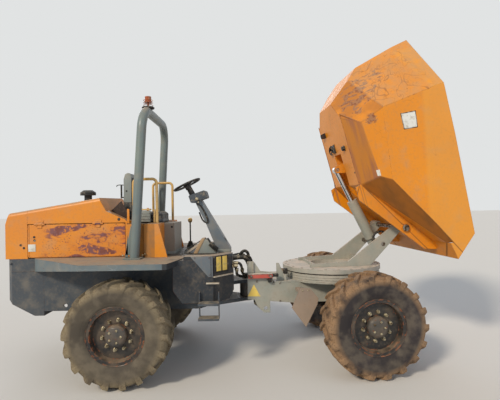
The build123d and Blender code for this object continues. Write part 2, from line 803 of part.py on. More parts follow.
# Articulation
def centre_link():
    barrel = upright(PIVOT_X, 0, LINK_RADIUS, PIVOT_Z - LINK_HEIGHT / 2, PIVOT_Z + LINK_HEIGHT / 2)
    spigot = long_bar(0, PIVOT_Z, SPIGOT_RADIUS, PIVOT_X, PIVOT_X + 360)
    bore = upright(PIVOT_X, 0, KING_PIN_RADIUS + PIN_CLEARANCE, 0, 2000)
    return barrel + spigot - bore


# Front unit
def front_plate(top_edge):
    deck_low = FRONT_TOP - RING_DECK - SEAT_GAP
    nose_edge = (
        (FRONT_REAR + 297, deck_low),
        (FRONT_NOSE - 60, deck_low),
        (FRONT_NOSE, FRONT_TOP - 60),
        (FRONT_NOSE, FRONT_BOTTOM + 60),
        (FRONT_NOSE - 80, FRONT_BOTTOM),
        (FRONT_REAR + 538, FRONT_BOTTOM),
        (FRONT_REAR, FRONT_BOTTOM + 60),
    )
    return side_plate(top_edge + nose_edge, FRONT_INNER, FRONT_HALF) + lashing_lug()


def front_chassis():
    shoulder = ((FRONT_REAR, FRONT_TOP), (FRONT_REAR + 287, FRONT_TOP))
    tower = (
        (FRONT_REAR, TOWER_TOP),
        (FRONT_REAR + 75, TOWER_TOP),
        (FRONT_REAR + 152, SHOULDER_Z + 15),
        (FRONT_REAR + 287, SHOULDER_Z),
    )
    return front_plate(shoulder) + mirror(front_plate(tower), about=Plane.XZ)


def front_stiffeners():
    half = FRONT_INNER - SEAT_GAP
    walls = block(FRONT_NOSE - PLATE, FRONT_NOSE, -half, half, FRONT_BOTTOM + 60, FRONT_TOP - 60)
    for x in (PIVOT_X + 160, PIVOT_X + 320):
        walls += block(x, x + 30, -half, half, FRONT_BOTTOM + 30, FRONT_TOP - 25)
    walls -= long_bar(0, PIVOT_Z, SPIGOT_RADIUS + PIN_CLEARANCE, PIVOT_X + 120, PIVOT_X + 420)
    rear = WHEELBASE - AXLE_SEAT_HALF
    front = WHEELBASE + AXLE_SEAT_HALF
    return walls + both_sides(block(rear, front, AXLE_SEAT_INNER, half, FRONT_BOTTOM, FRONT_BOTTOM + PLATE))


def lashing_lug():
    outline = (
        (LASHING_X - 130, 700),
        (LASHING_X - 95, LASHING_Z + 20),
        (LASHING_X - 20, LASHING_Z - 50),
        (LASHING_X + 50, LASHING_Z - 50),
        (LASHING_X + 50, 700),
    )
    lug = side_plate(outline, FRONT_HALF - PLATE, FRONT_HALF)
    return lug - cross_bar(LASHING_X, LASHING_Z, LASHING_HOLE / 2, 0, FRONT_HALF + 1)


def ring_deck():
    low = FRONT_TOP - RING_DECK
    plate = block(FRONT_REAR + 312, FRONT_NOSE - 60, -FRONT_HALF, FRONT_HALF, low, FRONT_TOP)
    plate += upright(SLEW_X, 0, RING_RADIUS, low, FRONT_TOP)
    return plate - upright(SLEW_X, 0, RING_BORE, low - 1, FRONT_TOP + 1)


def slew_base():
    ring = Circle(RING_RADIUS - 15) - Circle(RING_BORE)
    return Pos(SLEW_X, 0, FRONT_TOP + SEAT_GAP) * extrude(ring, RING_TOP - FRONT_TOP - SEAT_GAP)


def lock_strut():
    bar = block(FRONT_REAR + 6, FRONT_REAR + 288, -FRONT_HALF - 46, -FRONT_HALF - 12, 955, 1000)
    pins = None
    for x in (FRONT_REAR + 38, FRONT_REAR + 263):
        pin = cross_bar(x, 978, 12, -FRONT_HALF - 56, -FRONT_HALF - SEAT_GAP)
        pins = pin if pins is None else pins + pin
    return bar + pins


def mud_flap():
    middle = WHEELBASE - 666
    outline = (
        (middle - 52, 896),
        (middle + 58, 884),
        (middle + 150, 774),
        (middle + 134, 706),
        (middle + 6, 469),
        (middle - 147, 681),
    )
    flap = side_plate(outline, 700, 710)
    arm = block(middle - 30, middle + 30, FRONT_HALF + SEAT_GAP, 701, 800, 830)
    return flap + arm


# Slewing turntable
def turntable():
    ring = Circle(RING_RADIUS) - Circle(RING_BORE)
    disc = Pos(SLEW_X, 0, TABLE_BOTTOM) * extrude(ring, TABLE_TOP - TABLE_BOTTOM)
    bearing = Circle(RING_RADIUS - 60) - Circle(RING_BORE)
    lower = RING_TOP + SEAT_GAP
    disc += Pos(SLEW_X, 0, lower) * extrude(bearing, TABLE_BOTTOM - lower + 1)
    return disc


def arm_outline():
    return (
        (SLEW_X - 340, TABLE_TOP + SEAT_GAP),
        (SLEW_X - 340, TABLE_TOP + 35),
        (SLEW_X + 120, TABLE_TOP + 54),
        (HINGE_X - 67, HINGE_Z + 22),
        (HINGE_X + 30, HINGE_Z - 38),
        (SLEW_X + 390, TABLE_TOP + SEAT_GAP),
    )


def swivel_arms():
    arm = side_plate(arm_outline(), ARM_OUTER - ARM_PLATE, ARM_OUTER)
    arm += cross_bar(HINGE_X, HINGE_Z, BOSS_RADIUS, ARM_OUTER - ARM_PLATE, FLANGE_INNER - RUN_GAP)
    arm -= cross_bar(HINGE_X, HINGE_Z, HINGE_PIN / 2 + PIN_CLEARANCE, 0, 500)
    arm -= cross_bar(RAM_BASE_X, RAM_BASE_Z, RAM_PIN / 2 + PIN_CLEARANCE, 0, 500)
    arms = both_sides(arm)
    inner = ARM_OUTER - ARM_PLATE
    for x, top in ((SLEW_X - 290, TABLE_TOP + 30), (SLEW_X + 350, TABLE_TOP + 60)):
        arms += block(x, x + 25, -inner, inner, TABLE_TOP + SEAT_GAP, top)
    return arms


def swivel_pins():
    half = FLANGE_INNER + PLATE + 20
    hinge = cross_bar(HINGE_X, HINGE_Z, HINGE_PIN / 2, -half, half)
    base = cross_bar(RAM_BASE_X, RAM_BASE_Z, RAM_PIN / 2, -ARM_OUTER, ARM_OUTER)
    return hinge + base


# Skip, in its own frame: u forward along the floor, v to the left, h above the floor
def behind_sheet(first, second, third, inset):
    corner = Vector(*first)
    normal = (Vector(*second) - corner).cross(Vector(*third) - corner).normalized()
    middle = Vector(1000, 0, 500)
    if normal.dot(corner - middle) < 0:
        normal = normal * -1
    face = Plane(origin=corner - normal * inset, z_dir=normal)
    reach = 6000
    return face * Pos(0, 0, -reach / 2) * Box(reach, reach, reach)


def mirrored(point):
    return point[0], -point[1], point[2]


def skip_sides(inset, names):
    body = block(-400, 3000, -1200, 1200, -100, SKIP_DEPTH + 60)
    for name, first, second, third in SKIP_SHEETS:
        if name in names:
            body &= behind_sheet(first, second, third, inset)
            body &= behind_sheet(mirrored(first), mirrored(second), mirrored(third), inset)
    return body


def skip_body(inset):
    tub = skip_sides(inset, [row[0] for row in SKIP_SHEETS])
    lip = skip_sides(inset, ("side", "side band"))
    lip &= behind_sheet((SPOUT_U, 0, SPOUT_H), (SPOUT_U, 400, SPOUT_H), (LIP_U, 0, LIP_H), inset)
    lip &= block(SPOUT_U, LIP_U, -1200, 1200, 0, 2000)
    return tub + lip


def rim_cut():
    top = SKIP_DEPTH + 100
    outline = (
        (-400, SKIP_DEPTH),
        (RIM_DIP_U, SKIP_DEPTH),
        (RIM_NOSE_U, RIM_NOSE_H),
        (LIP_U, LIP_H),
        (3100, LIP_H),
        (3100, top),
        (-400, top),
    )
    return side_plate(outline, -1300, 1300)


def skip_shell():
    shell = skip_body(0) - skip_body(SKIP_WALL) - rim_cut()
    shell -= skip_tunnel_space()
    shell += skip_tunnel() & skip_body(0)
    return shell


def tunnel_outline(grow):
    return (
        (TUNNEL_REAR - grow, -50),
        (TUNNEL_REAR - grow, 60 + grow),
        (TUNNEL_REAR + 200, TUNNEL_TOP + grow),
        (TUNNEL_FRONT, TUNNEL_TOP + 130 + grow),
        (TUNNEL_FRONT, -50),
    )


def skip_tunnel_space():
    return side_plate(tunnel_outline(0), -TUNNEL_HALF, TUNNEL_HALF)


def skip_tunnel():
    outer = side_plate(tunnel_outline(SKIP_WALL), -TUNNEL_HALF - SKIP_WALL, TUNNEL_HALF + SKIP_WALL)
    return outer - skip_tunnel_space()


def skip_flanges():
    outline = (
        (FLOOR_FRONT - 5, 15),
        (FLOOR_FRONT + 20, -60),
        (FLOOR_FRONT + 176, -60),
        (SPOUT_U + 67, SPOUT_H - 121),
        (SPOUT_U + 115, SPOUT_H + 25),
        (SPOUT_U, SPOUT_H + 20),
    )
    y0 = FLANGE_INNER
    flange = side_plate(outline, y0, y0 + PLATE)
    flange += cross_bar(HINGE_U, HINGE_H, BOSS_RADIUS, y0, y0 + PLATE + 10)
    flange -= cross_bar(HINGE_U, HINGE_H, HINGE_PIN / 2 + PIN_CLEARANCE, 0, y0 + 100)
    flange -= skip_body(SKIP_WALL / 2)
    return both_sides(flange)


def eye_lugs():
    y0 = EYE_HALF + RUN_GAP
    outline = ((1060, 0), (1085, -95), (1155, -95), (1180, 0), (1180, 200), (1060, 200))
    lug = side_plate(outline, y0, y0 + 16)
    lug &= side_plate(tunnel_outline(5), 0, TUNNEL_HALF)
    lug += side_plate(outline[:4], y0, y0 + 16)
    lug -= cross_bar(EYE_U, EYE_H, RAM_PIN / 2 + PIN_CLEARANCE, 0, 300)
    return lug


# Poses: where moving groups stand when the machine is parked
def lowered_skip():
    return Pos(HINGE_X - HINGE_U, 0, HINGE_Z - HINGE_H)


def about_hinge(angle):
    return Pos(HINGE_X, 0, HINGE_Z) * Rot(0, angle, 0) * Pos(-HINGE_X, 0, -HINGE_Z)


def eye_point(angle):
    turn = radians(angle)
    du = EYE_U - HINGE_U
    dh = EYE_H - HINGE_H
    x = HINGE_X + du * cos(turn) + dh * sin(turn)
    z = HINGE_Z - du * sin(turn) + dh * cos(turn)
    return x, z


def ram_length(angle):
    x, z = eye_point(angle)
    return hypot(x - RAM_BASE_X, z - RAM_BASE_Z)


def ram_slope(angle):
    x, z = eye_point(angle)
    return degrees(atan2(z - RAM_BASE_Z, x - RAM_BASE_X))


def ram_placed(shape):
    turn = ram_slope(TIP_ANGLE)
    return Pos(RAM_BASE_X, 0, RAM_BASE_Z) * Rot(0, -turn, 0) * shape


# Ram pieces, drawn along +X from the base pin
def ram_barrel():
    radius = RAM_BORE_TUBE / 2
    tube = long_bar(0, 0, radius, 55, RAM_BARREL)
    eye = cross_bar(0, 0, 52, -EYE_HALF, EYE_HALF)
    neck = block(0, 80, -EYE_HALF, EYE_HALF, -40, 40)
    barrel = tube + eye + neck
    barrel -= cross_bar(0, 0, RAM_PIN / 2 + PIN_CLEARANCE, -100, 100)
    barrel -= long_bar(0, 0, RAM_ROD / 2 + PIN_CLEARANCE, 130, RAM_BARREL + 10)
    return ram_placed(barrel)


def ram_rod():
    length = ram_length(TIP_ANGLE)
    closed = ram_length(0)
    back = length - closed + 140
    rod = long_bar(0, 0, RAM_ROD / 2, back, length - 10)
    eye = cross_bar(length, 0, EYE_RADIUS, -EYE_HALF, EYE_HALF)
    return ram_placed(rod + eye)


# Assembly
def steered():
    return Pos(PIVOT_X, 0, 0) * Rot(0, 0, STEER_AT_REST) * Pos(-PIVOT_X, 0, 0)


def build():
    nodes = {}
    nodes["rear_chassis"] = rear_chassis()
    nodes["steering_pins"] = king_pins()
    nodes["counterweight"] = counterweight()
    nodes["engine_block"] = engine_block()
    nodes["bonnet_cover"] = bonnet_cover()
    nodes["bonnet_rear_cap"] = bonnet_cap()
    nodes["pre_cleaner"] = pre_cleaner()
    nodes["mudguards"] = both_sides(mudguard())
    nodes["side_tanks"] = both_sides(side_tank())
    nodes["steps"] = both_sides(steps())
    nodes["handrails"] = both_sides(handrail())
    door = bonnet_door()
    nodes["bonnet_door_left"] = door
    nodes["bonnet_door_right"] = mirror(door, about=Plane.XZ)
    nodes["platform"] = platform()
    nodes["seat_console"] = seat_console()
    nodes["seat_box"] = seat_box()
    nodes["seat"] = seat()
    nodes["rollover_hoop"] = hoop()
    nodes["hoop_feet"] = hoop_feet()
    nodes["beacon"] = beacon()
    nodes["steering_column"] = steering_column()
    nodes["dash_box"] = dash_box()
    nodes["steering_wheel"] = steering_wheel()
    nodes["controls"] = gear_lever() + pedals()
    nodes["rear_axle"] = axle()
    turn = steered()
    nodes["centre_link"] = turn * centre_link()
    nodes["front_chassis"] = turn * front_chassis()
    nodes["front_stiffeners"] = turn * front_stiffeners()
    nodes["ring_deck"] = turn * ring_deck()
    nodes["slew_base"] = turn * slew_base()
    nodes["lock_strut"] = turn * lock_strut()
    nodes["front_axle"] = turn * Pos(WHEELBASE, 0, 0) * front_axle()
    nodes["mud_flaps"] = turn * both_sides(mud_flap())
    nodes["turntable"] = turn * turntable()
    nodes["swivel_arms"] = turn * swivel_arms()
    nodes["swivel_pins"] = turn * swivel_pins()
    nodes["ram_barrel"] = turn * ram_barrel()
    nodes["ram_rod"] = turn * ram_rod()
    raised = turn * about_hinge(TIP_ANGLE) * lowered_skip()
    nodes["skip"] = raised * (skip_shell() + skip_flanges() + both_sides(eye_lugs()))
    for name, side in SIDES:
        carcass = tyre() if side > 0 else mirror(tyre(), about=Plane.XZ)
        for end, x, move in (("rear", 0, Pos(0, 0, 0)), ("front", WHEELBASE, turn)):
            place = move * Pos(x, side * TRACK / 2, AXLE_HEIGHT)
            nodes["tyre_%s_%s" % (end, name)] = place * carcass
            nodes["rim_%s_%s" % (end, name)] = place * rim(side)
            nodes["hub_%s_%s" % (end, name)] = place * hub(side)
    return nodes


def centre_shift(nodes):
    boxes = [shape.bounding_box() for shape in nodes.values()]
    x0 = min(box.min.X for box in boxes)
    x1 = max(box.max.X for box in boxes)
    y0 = min(box.min.Y for box in boxes)
    y1 = max(box.max.Y for box in boxes)
    z0 = min(box.min.Z for box in boxes)
    return Pos(-(x0 + x1) / 2, -(y0 + y1) / 2, -z0)


NODES = build()
SHIFT = centre_shift(NODES)
os.makedirs("parts", exist_ok=True)
for node_name, node_shape in NODES.items():
    export_step(SHIFT * node_shape, "parts/" + node_name + ".step")
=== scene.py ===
# %% [markdown]
# A site dumper with a slewing skip, dressed on its CAD frame.
# The real machine has a rear unit with engine, seat and roll-over hoop, a pivot, and a front unit whose
# skip turns on a ring and tips forward. The CAD solids give every main form. This script paints them,
# adds the small parts that a solid leaves out, and lights the whole like a product portrait.
# The frame is loaded first, because every piece below is placed from its nodes and joints.

# %% Load the frame
import json
import math
import random
from statistics import NormalDist

import bmesh
import bpy
from mathutils import Matrix, Vector
from mathutils.bvhtree import BVHTree


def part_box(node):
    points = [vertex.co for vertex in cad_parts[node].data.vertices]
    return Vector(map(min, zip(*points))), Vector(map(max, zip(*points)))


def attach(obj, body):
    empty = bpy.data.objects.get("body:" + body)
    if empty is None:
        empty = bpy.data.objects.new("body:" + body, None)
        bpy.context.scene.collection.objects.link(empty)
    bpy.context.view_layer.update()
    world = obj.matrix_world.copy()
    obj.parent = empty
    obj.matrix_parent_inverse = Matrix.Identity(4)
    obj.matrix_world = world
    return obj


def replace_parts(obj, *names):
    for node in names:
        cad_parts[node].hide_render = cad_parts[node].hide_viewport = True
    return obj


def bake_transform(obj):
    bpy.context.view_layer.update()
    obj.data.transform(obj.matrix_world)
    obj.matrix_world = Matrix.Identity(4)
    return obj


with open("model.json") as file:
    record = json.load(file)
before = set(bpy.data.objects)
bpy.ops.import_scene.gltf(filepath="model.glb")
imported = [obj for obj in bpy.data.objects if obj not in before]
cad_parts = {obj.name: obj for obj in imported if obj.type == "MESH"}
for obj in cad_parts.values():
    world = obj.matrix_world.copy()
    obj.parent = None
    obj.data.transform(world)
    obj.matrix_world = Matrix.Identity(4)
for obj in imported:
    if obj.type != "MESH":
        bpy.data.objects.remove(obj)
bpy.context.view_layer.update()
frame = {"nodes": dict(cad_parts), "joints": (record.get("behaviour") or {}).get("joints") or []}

NODES = frame["nodes"]
JOINTS = {joint["name"]: joint for joint in frame["joints"]}

# %% [markdown]
# A fitter measures each unit from its own datum: the rear unit from the rear axle, the front unit from the
# same axle as if the machine stood straight, and the skip along and above its floor. Three matrices turn
# those millimetres into the frame's metres. How far the parked machine is steered and tipped comes from the
# joints, so those angles aren't typed a second time.

# %% Where each unit stands
MILLI = Matrix.Scale(0.001, 4)
axle_low, axle_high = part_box("rear_axle")
AXLE = (axle_low + axle_high) / 2
PIVOT = Vector(JOINTS["steer"]["pos_m"])
PIVOT_X = (PIVOT.x - AXLE.x) * 1000
ahead = JOINTS["oscillate"]["axis"]
STEERED = Matrix.Rotation(math.atan2(ahead[1], ahead[0]), 4, "Z")
REAR = Matrix.Translation((AXLE.x, AXLE.y, 0)) @ MILLI
FRONT = Matrix.Translation((PIVOT.x, PIVOT.y, 0)) @ STEERED @ MILLI @ Matrix.Translation((-PIVOT_X, 0, 0))
HINGE_ALONG_FLOOR = 1980
HINGE_ABOVE_FLOOR = 380
HINGE = Vector(JOINTS["tip"]["pos_m"])
TIPPED = Matrix.Rotation(math.radians(-JOINTS["tip"]["range_deg"][0]), 4, "Y")
FLOOR_TO_HINGE = Matrix.Translation((-HINGE_ALONG_FLOOR, 0, -HINGE_ABOVE_FLOOR))
SKIP = Matrix.Translation(HINGE) @ STEERED @ TIPPED @ MILLI @ FLOOR_TO_HINGE
SLEW_X = (FRONT.inverted() @ Vector(JOINTS["slew"]["pos_m"])).x
WHEELBASE = (FRONT.inverted() @ Vector(JOINTS["wheel_front_left_roll"]["pos_m"])).x
TRACK = 2 * (REAR.inverted() @ Vector(JOINTS["wheel_rear_left_roll"]["pos_m"])).y
AXLE_HEIGHT = JOINTS["wheel_rear_left_roll"]["pos_m"][2] * 1000
print("pivot", round(PIVOT_X), "slewing ring", round(SLEW_X), "wheelbase", round(WHEELBASE), "track", round(TRACK))

# %% [markdown]
# Meshes are built in Blender's bmesh, where a few calls make most of a machine: prisms for plates, turned
# profiles for hubs and caps, tubes for hoses, and hexagon bolts. Each call adds to one open mesh. The last
# call turns that mesh into an object with its finish, hangs it on its body and empties the mesh again.

# %% Plates and blocks
open_mesh = bmesh.new()
ALONG = {"X": (1, 2, 0), "Y": (0, 2, 1), "Z": (0, 1, 2)}
UP, DOWN, RIGHTWARD = (0, 0, 1), (0, 0, -1), (0, -1, 0)


def soften(verts, width):
    """Rounds the edges between these vertices by a small bevel."""
    chosen = set(verts)
    edges = [edge for edge in open_mesh.edges if chosen.issuperset(edge.verts)]
    bmesh.ops.bevel(open_mesh, geom=edges, offset=width, segments=2, profile=0.6, affect="EDGES", clamp_overlap=True)


def add_prism(outline, low, high, axis="Y", bevel=0):
    """A plate: the outline, given in the plane across the axis, from low to high along it."""
    first, second, third = ALONG[axis]
    rings = []
    for level in (low, high):
        ring = []
        for point in outline:
            place = [0, 0, 0]
            place[first], place[second], place[third] = point[0], point[1], level
            ring.append(open_mesh.verts.new(place))
        rings.append(ring)
    open_mesh.faces.new(rings[0])
    open_mesh.faces.new(reversed(rings[1]))
    count = len(outline)
    for index in range(count):
        after = (index + 1) % count
        open_mesh.faces.new((rings[0][index], rings[0][after], rings[1][after], rings[1][index]))
    if bevel:
        soften(rings[0] + rings[1], bevel)


def add_box(low, high, bevel=2):
    """A rounded block between two corners."""
    outline = ((low[0], low[1]), (high[0], low[1]), (high[0], high[1]), (low[0], high[1]))
    add_prism(outline, low[2], high[2], "Z", bevel)


# %% Turned pieces, tubes and bolts
def ring_of(centre, turn, radius, along, steps):
    if radius == 0:
        return [open_mesh.verts.new(centre + turn @ Vector((0, 0, along)))]
    ring = []
    for step in range(steps):
        angle = 2 * math.pi * step / steps
        offset = Vector((radius * math.cos(angle), radius * math.sin(angle), along))
        ring.append(open_mesh.verts.new(centre + turn @ offset))
    return ring


def join_rings(first, second):
    count = max(len(first), len(second))
    if count == 1:
        return
    for index in range(count):
        after = (index + 1) % count
        corners = [first[index % len(first)], first[after % len(first)]]
        corners += [second[after % len(second)], second[index % len(second)]]
        open_mesh.faces.new(list(dict.fromkeys(corners)))


def add_turned(profile, centre, axis, steps=32, closed=False):
    """A turned piece: radius and distance along the axis, point after point."""
    turn = Vector((0, 0, 1)).rotation_difference(Vector(axis)).to_matrix()
    rings = [ring_of(Vector(centre), turn, radius, along, steps) for radius, along in profile]
    for first, second in zip(rings, rings[1:]):
        join_rings(first, second)
    if closed:
        join_rings(rings[-1], rings[0])


def add_disc(radius, height, centre, axis, steps):
    add_turned(((0, 0), (radius, 0), (radius, height), (0, height)), centre, axis, steps)


def smooth_path(points, per_run=6):
    """Points along a soft curve through the given ones, as a hose lies between its clips."""
    ends = [Vector(points[0]) * 2 - Vector(points[1])]
    ends += [Vector(point) for point in points]
    ends.append(Vector(points[-1]) * 2 - Vector(points[-2]))
    path = []
    for p0, p1, p2, p3 in zip(ends, ends[1:], ends[2:], ends[3:]):
        for step in range(per_run):
            t = step / per_run
            bend = (p1 * 2 + (p2 - p0) * t + (p0 * 2 - p1 * 5 + p2 * 4 - p3) * t * t)
            path.append((bend + (p1 * 3 - p0 - p2 * 3 + p3) * t ** 3) / 2)
    path.append(Vector(points[-1]))
    return path


def add_tube(points, radius, sides=10, per_run=6):
    """A round tube along a soft curve, closed at both ends."""
    path = smooth_path(points, per_run)
    across = (path[1] - path[0]).orthogonal().normalized()
    rings = []
    for index, point in enumerate(path):
        ahead_of = path[min(index + 1, len(path) - 1)]
        behind = path[max(index - 1, 0)]
        direction = (ahead_of - behind).normalized()
        across = (across - direction * across.dot(direction)).normalized()
        second = direction.cross(across)
        ring = []
        for side in range(sides):
            angle = 2 * math.pi * side / sides
            ring.append(open_mesh.verts.new(point + (across * math.cos(angle) + second * math.sin(angle)) * radius))
        rings.append(ring)
    for first, second in zip(rings, rings[1:]):
        join_rings(first, second)
    open_mesh.faces.new(rings[0])
    open_mesh.faces.new(reversed(rings[-1]))


def add_bolt(seat, axis, size=16):
    """A hexagon bolt head on its washer; size is the thread, and the head is 1.5 times as wide."""
    add_turned(((0, 0), (size, 0), (size, size * 0.18), (0, size * 0.18)), seat, axis, 14)
    head = ((0, size * 0.15), (size * 0.86, size * 0.15), (size * 0.86, size * 0.7), (size * 0.7, size * 0.82),
            (0, size * 0.82))
    add_turned(head, seat, axis, 6)


# %% From mesh to piece
SHARP = math.radians(34)


def make_piece(name, place, finish, body):
    """Turns the open mesh into an object in metres, finished and riding on its body, and empties it."""
    bmesh.ops.recalc_face_normals(open_mesh, faces=open_mesh.faces)
    open_mesh.transform(place)
    mesh = bpy.data.meshes.new(name)
    open_mesh.to_mesh(mesh)
    open_mesh.clear()
    mesh.shade_smooth()
    mesh.set_sharp_from_angle(angle=SHARP)
    mesh.materials.append(finish)
    piece = bpy.data.objects.new(name, mesh)
    bpy.context.scene.collection.objects.link(piece)
    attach(piece, body)
    return piece


def rear_piece(name, finish, body="rear_unit"):
    return make_piece(name, REAR, finish, body)


def front_piece(name, finish, body="front_unit"):
    return make_piece(name, FRONT, finish, body)


def skip_piece(name, finish):
    return make_piece(name, SKIP, finish, "skip")


def dress(finish, *names):
    """Gives carried-over CAD nodes their finish through the object's own material slots."""
    for name in names:
        node = NODES[name]
        if not node.material_slots:
            node.data.materials.append(finish)
        for material_slot in node.material_slots:
            material_slot.link = "OBJECT"
            material_slot.material = finish


print("mesh helpers ready")

# %% [markdown]
# Every finish is a small stack of layers, as on the machine: a base coat, the fading and dirt on it, and
# last the chips and rust that go through it. The patterns are measured in millimetres on the piece's own
# axes, so they stay put when the piece moves. Colours are written as on a paint card and turned to
# the linear values that a renderer wants.

# %% Colours and nodes
def linear(hex_code):
    """A paint card's sRGB hex value as linear red, green, blue and alpha."""
    channels = [int(hex_code[place:place + 2], 16) / 255 for place in (1, 3, 5)]
    return tuple(c / 12.92 if c <= 0.04045 else ((c + 0.055) / 1.055) ** 2.4 for c in channels) + (1.0,)


def add_node(tree, kind, settings=None, links=None):
    """One node with its settings, which are inputs or properties, and its links by input."""
    node = tree.nodes.new(kind)
    for key, value in (settings or {}).items():
        if isinstance(key, int) or key in node.inputs:
            node.inputs[key].default_value = value
        else:
            setattr(node, key, value)
    for key, socket in (links or {}).items():
        tree.links.new(socket, node.inputs[key])
    return node


def new_finish(name, **sockets):
    """A material with its shader; what is the same all over is set on the shader's own sockets."""
    material = bpy.data.materials.new(name)
    material.use_nodes = True
    tree = material.node_tree
    shader = tree.nodes["Principled BSDF"]
    for key, value in sockets.items():
        shader.inputs[key.replace("_", " ")].default_value = value
    return material, tree, shader


def millimetres(tree, place):
    """The surface point in the millimetres of the unit that the piece belongs to."""
    offset, turn, scale = place.inverted().decompose()
    spot_on = add_node(tree, "ShaderNodeTexCoord")
    settings = {"Location": offset, "Rotation": turn.to_euler(), "Scale": scale}
    return add_node(tree, "ShaderNodeMapping", settings, {"Vector": spot_on.outputs["Object"]}).outputs[0]


# %% [markdown]
# A skin is a finish while it is being built. It knows its node tree and the surface point, and it keeps the
# colour and roughness of the layers so far. First come its patterns: each gives a value from 0 to 1 that
# says where a layer shows, and within limits one pattern to another.

# %% Patterns that say where a layer shows
class Patterns:
    def __init__(self, name, place, **sockets):
        self.material, self.tree, self.shader = new_finish(name, **sockets)
        self.where = millimetres(self.tree, place)

    def node(self, kind, settings=None, links=None):
        return add_node(self.tree, "ShaderNode" + kind, settings, links)

    def maths(self, operation, *terms):
        """A sum on up to three terms; each is a number or what another node gives out."""
        links = {place: term for place, term in enumerate(terms) if isinstance(term, bpy.types.NodeSocket)}
        numbers = {place: term for place, term in enumerate(terms) if place not in links}
        return self.node("Math", {"operation": operation, **numbers}, links).outputs[0]

    def ramp(self, value, low, high, soft=False):
        settings = {"From Min": low, "From Max": high}
        if soft:
            settings["interpolation_type"] = "SMOOTHSTEP"
        return self.node("MapRange", settings, {"Value": value}).outputs[0]

    def cloud(self, size, detail, twist=0.0, stretch=None):
        """Cloudy noise with blotches about size millimetres across."""
        where = self.where
        if stretch is not None:
            where = self.node("Mapping", {"Scale": stretch}, {"Vector": where}).outputs[0]
        settings = {"Scale": 1 / size, "Detail": detail, "Distortion": twist}
        return self.node("TexNoise", settings, {"Vector": where}).outputs[0]

    def masked(self, amount, within):
        return amount if within is None else self.maths("MULTIPLY", amount, within)

    def patches(self, size, share, soft=0.05, detail=5.0, twist=0.0, stretch=(1, 1, 1), within=None):
        """Blotches about size millimetres across that cover a share of the surface."""
        edge = 0.5 + 0.1 * NormalDist().inv_cdf(1 - share)
        cloud = self.cloud(size, detail, twist, stretch)
        return self.masked(self.ramp(cloud, edge - soft, edge + soft, True), within)

    def hairlines(self, size, width, stretch=(1, 1, 1), within=None):
        """Thin wandering scratches: the line where a cloud pattern passes its middle value."""
        off = self.maths("SUBTRACT", self.cloud(size, 2.0, 0.6, stretch), 0.5)
        return self.masked(self.ramp(self.maths("ABSOLUTE", off), width, 0.0), within)

    def spot(self, centre, radius, ragged=0.5):
        """A ragged spot round one point."""
        gap = self.node("VectorMath", {"operation": "DISTANCE", 1: centre}, {0: self.where})
        rough_gap = self.maths("MULTIPLY_ADD", self.cloud(radius / 4, 5.0), radius * ragged * 3, gap.outputs[1])
        limit = radius * (1 + ragged * 1.5)
        return self.ramp(rough_gap, limit * 1.06, limit * 0.94)

    def band(self, axis, low, high, soft=30):
        """A stretch between two values along one axis, with soft ends."""
        along = self.node("SeparateXYZ", {}, {0: self.where}).outputs["XYZ".index(axis)]
        off = self.maths("SUBTRACT", along, (low + high) / 2)
        half = (high - low) / 2
        return self.ramp(self.maths("ABSOLUTE", off), half + soft, half - soft, True)

    def facing_up(self):
        """Where the piece's own surface looks up at rest, so that dust settles on it."""
        surface = self.node("TexCoord")
        parts = self.node("SeparateXYZ", {}, {0: surface.outputs["Normal"]})
        return self.ramp(parts.outputs["Z"], 0.35, 0.85)

    def rounded_normal(self, width):
        """The surface direction with every sharp corner rounded over some millimetres."""
        return self.node("Bevel", {"samples": 4, "Radius": width / 1000}).outputs[0]

    def worn_edges(self, width, within=None):
        """1 along the outer and inner corners, where paint is thin and wears first."""
        flat = self.node("NewGeometry").outputs["Normal"]
        same = self.node("VectorMath", {"operation": "DOT_PRODUCT"}, {0: self.rounded_normal(width), 1: flat})
        return self.masked(self.ramp(same.outputs[1], 0.995, 0.93), within)


# %% Layers and the close of a finish
class Skin(Patterns):
    def base_coat(self, colour, faded, rough, size=700):
        """The first layer: one colour that drifts towards its faded tone in large soft clouds."""
        fade = self.patches(size, 0.5, soft=0.22, detail=3.0)
        tint = self.node("Mix", {"data_type": "RGBA", 6: linear(colour), 7: linear(faded)}, {0: fade})
        shine = self.node("Mix", {2: rough, 3: min(rough + 0.12, 1.0)}, {0: fade})
        self.colour, self.rough = tint.outputs[2], shine.outputs[0]

    def coat(self, amount, colour, rough, strength=1.0):
        """Another layer over the last one wherever amount says, in its own colour and roughness."""
        if strength < 1.0:
            amount = self.maths("MULTIPLY", amount, strength)
        tint = self.node("Mix", {"data_type": "RGBA", 7: linear(colour)}, {0: amount, 6: self.colour})
        shine = self.node("Mix", {3: rough}, {0: amount, 2: self.rough})
        self.colour, self.rough = tint.outputs[2], shine.outputs[0]

    def relief(self, size, depth, under=None, detail=4.0):
        """Fine unevenness about size millimetres across and depth millimetres high."""
        links = {"Height": self.cloud(size, detail)}
        if under is not None:
            links["Normal"] = under
        return self.node("Bump", {"Strength": 1.0, "Distance": depth / 1000}, links).outputs[0]

    def close(self, normal):
        links = {"Base Color": self.colour, "Roughness": self.rough, "Normal": normal}
        for key, socket in links.items():
            self.tree.links.new(socket, self.shader.inputs[key])
        return self.material


# %% [markdown]
# Most of the machine is folded or cast steel under sprayed enamel. New, it is glossy; after years on site
# it is chalky, with tan dust lying on whatever faces up, scratches from stones, and rust where the edges
# have lost their coat. One function lays these in order, and each finish below says how much of each.

# %% Sprayed enamel on steel
DUST = "#A09480"
MUD = "#8A7660"
RUST = "#7A3F22"
RUST_DARK = "#4A2A1E"


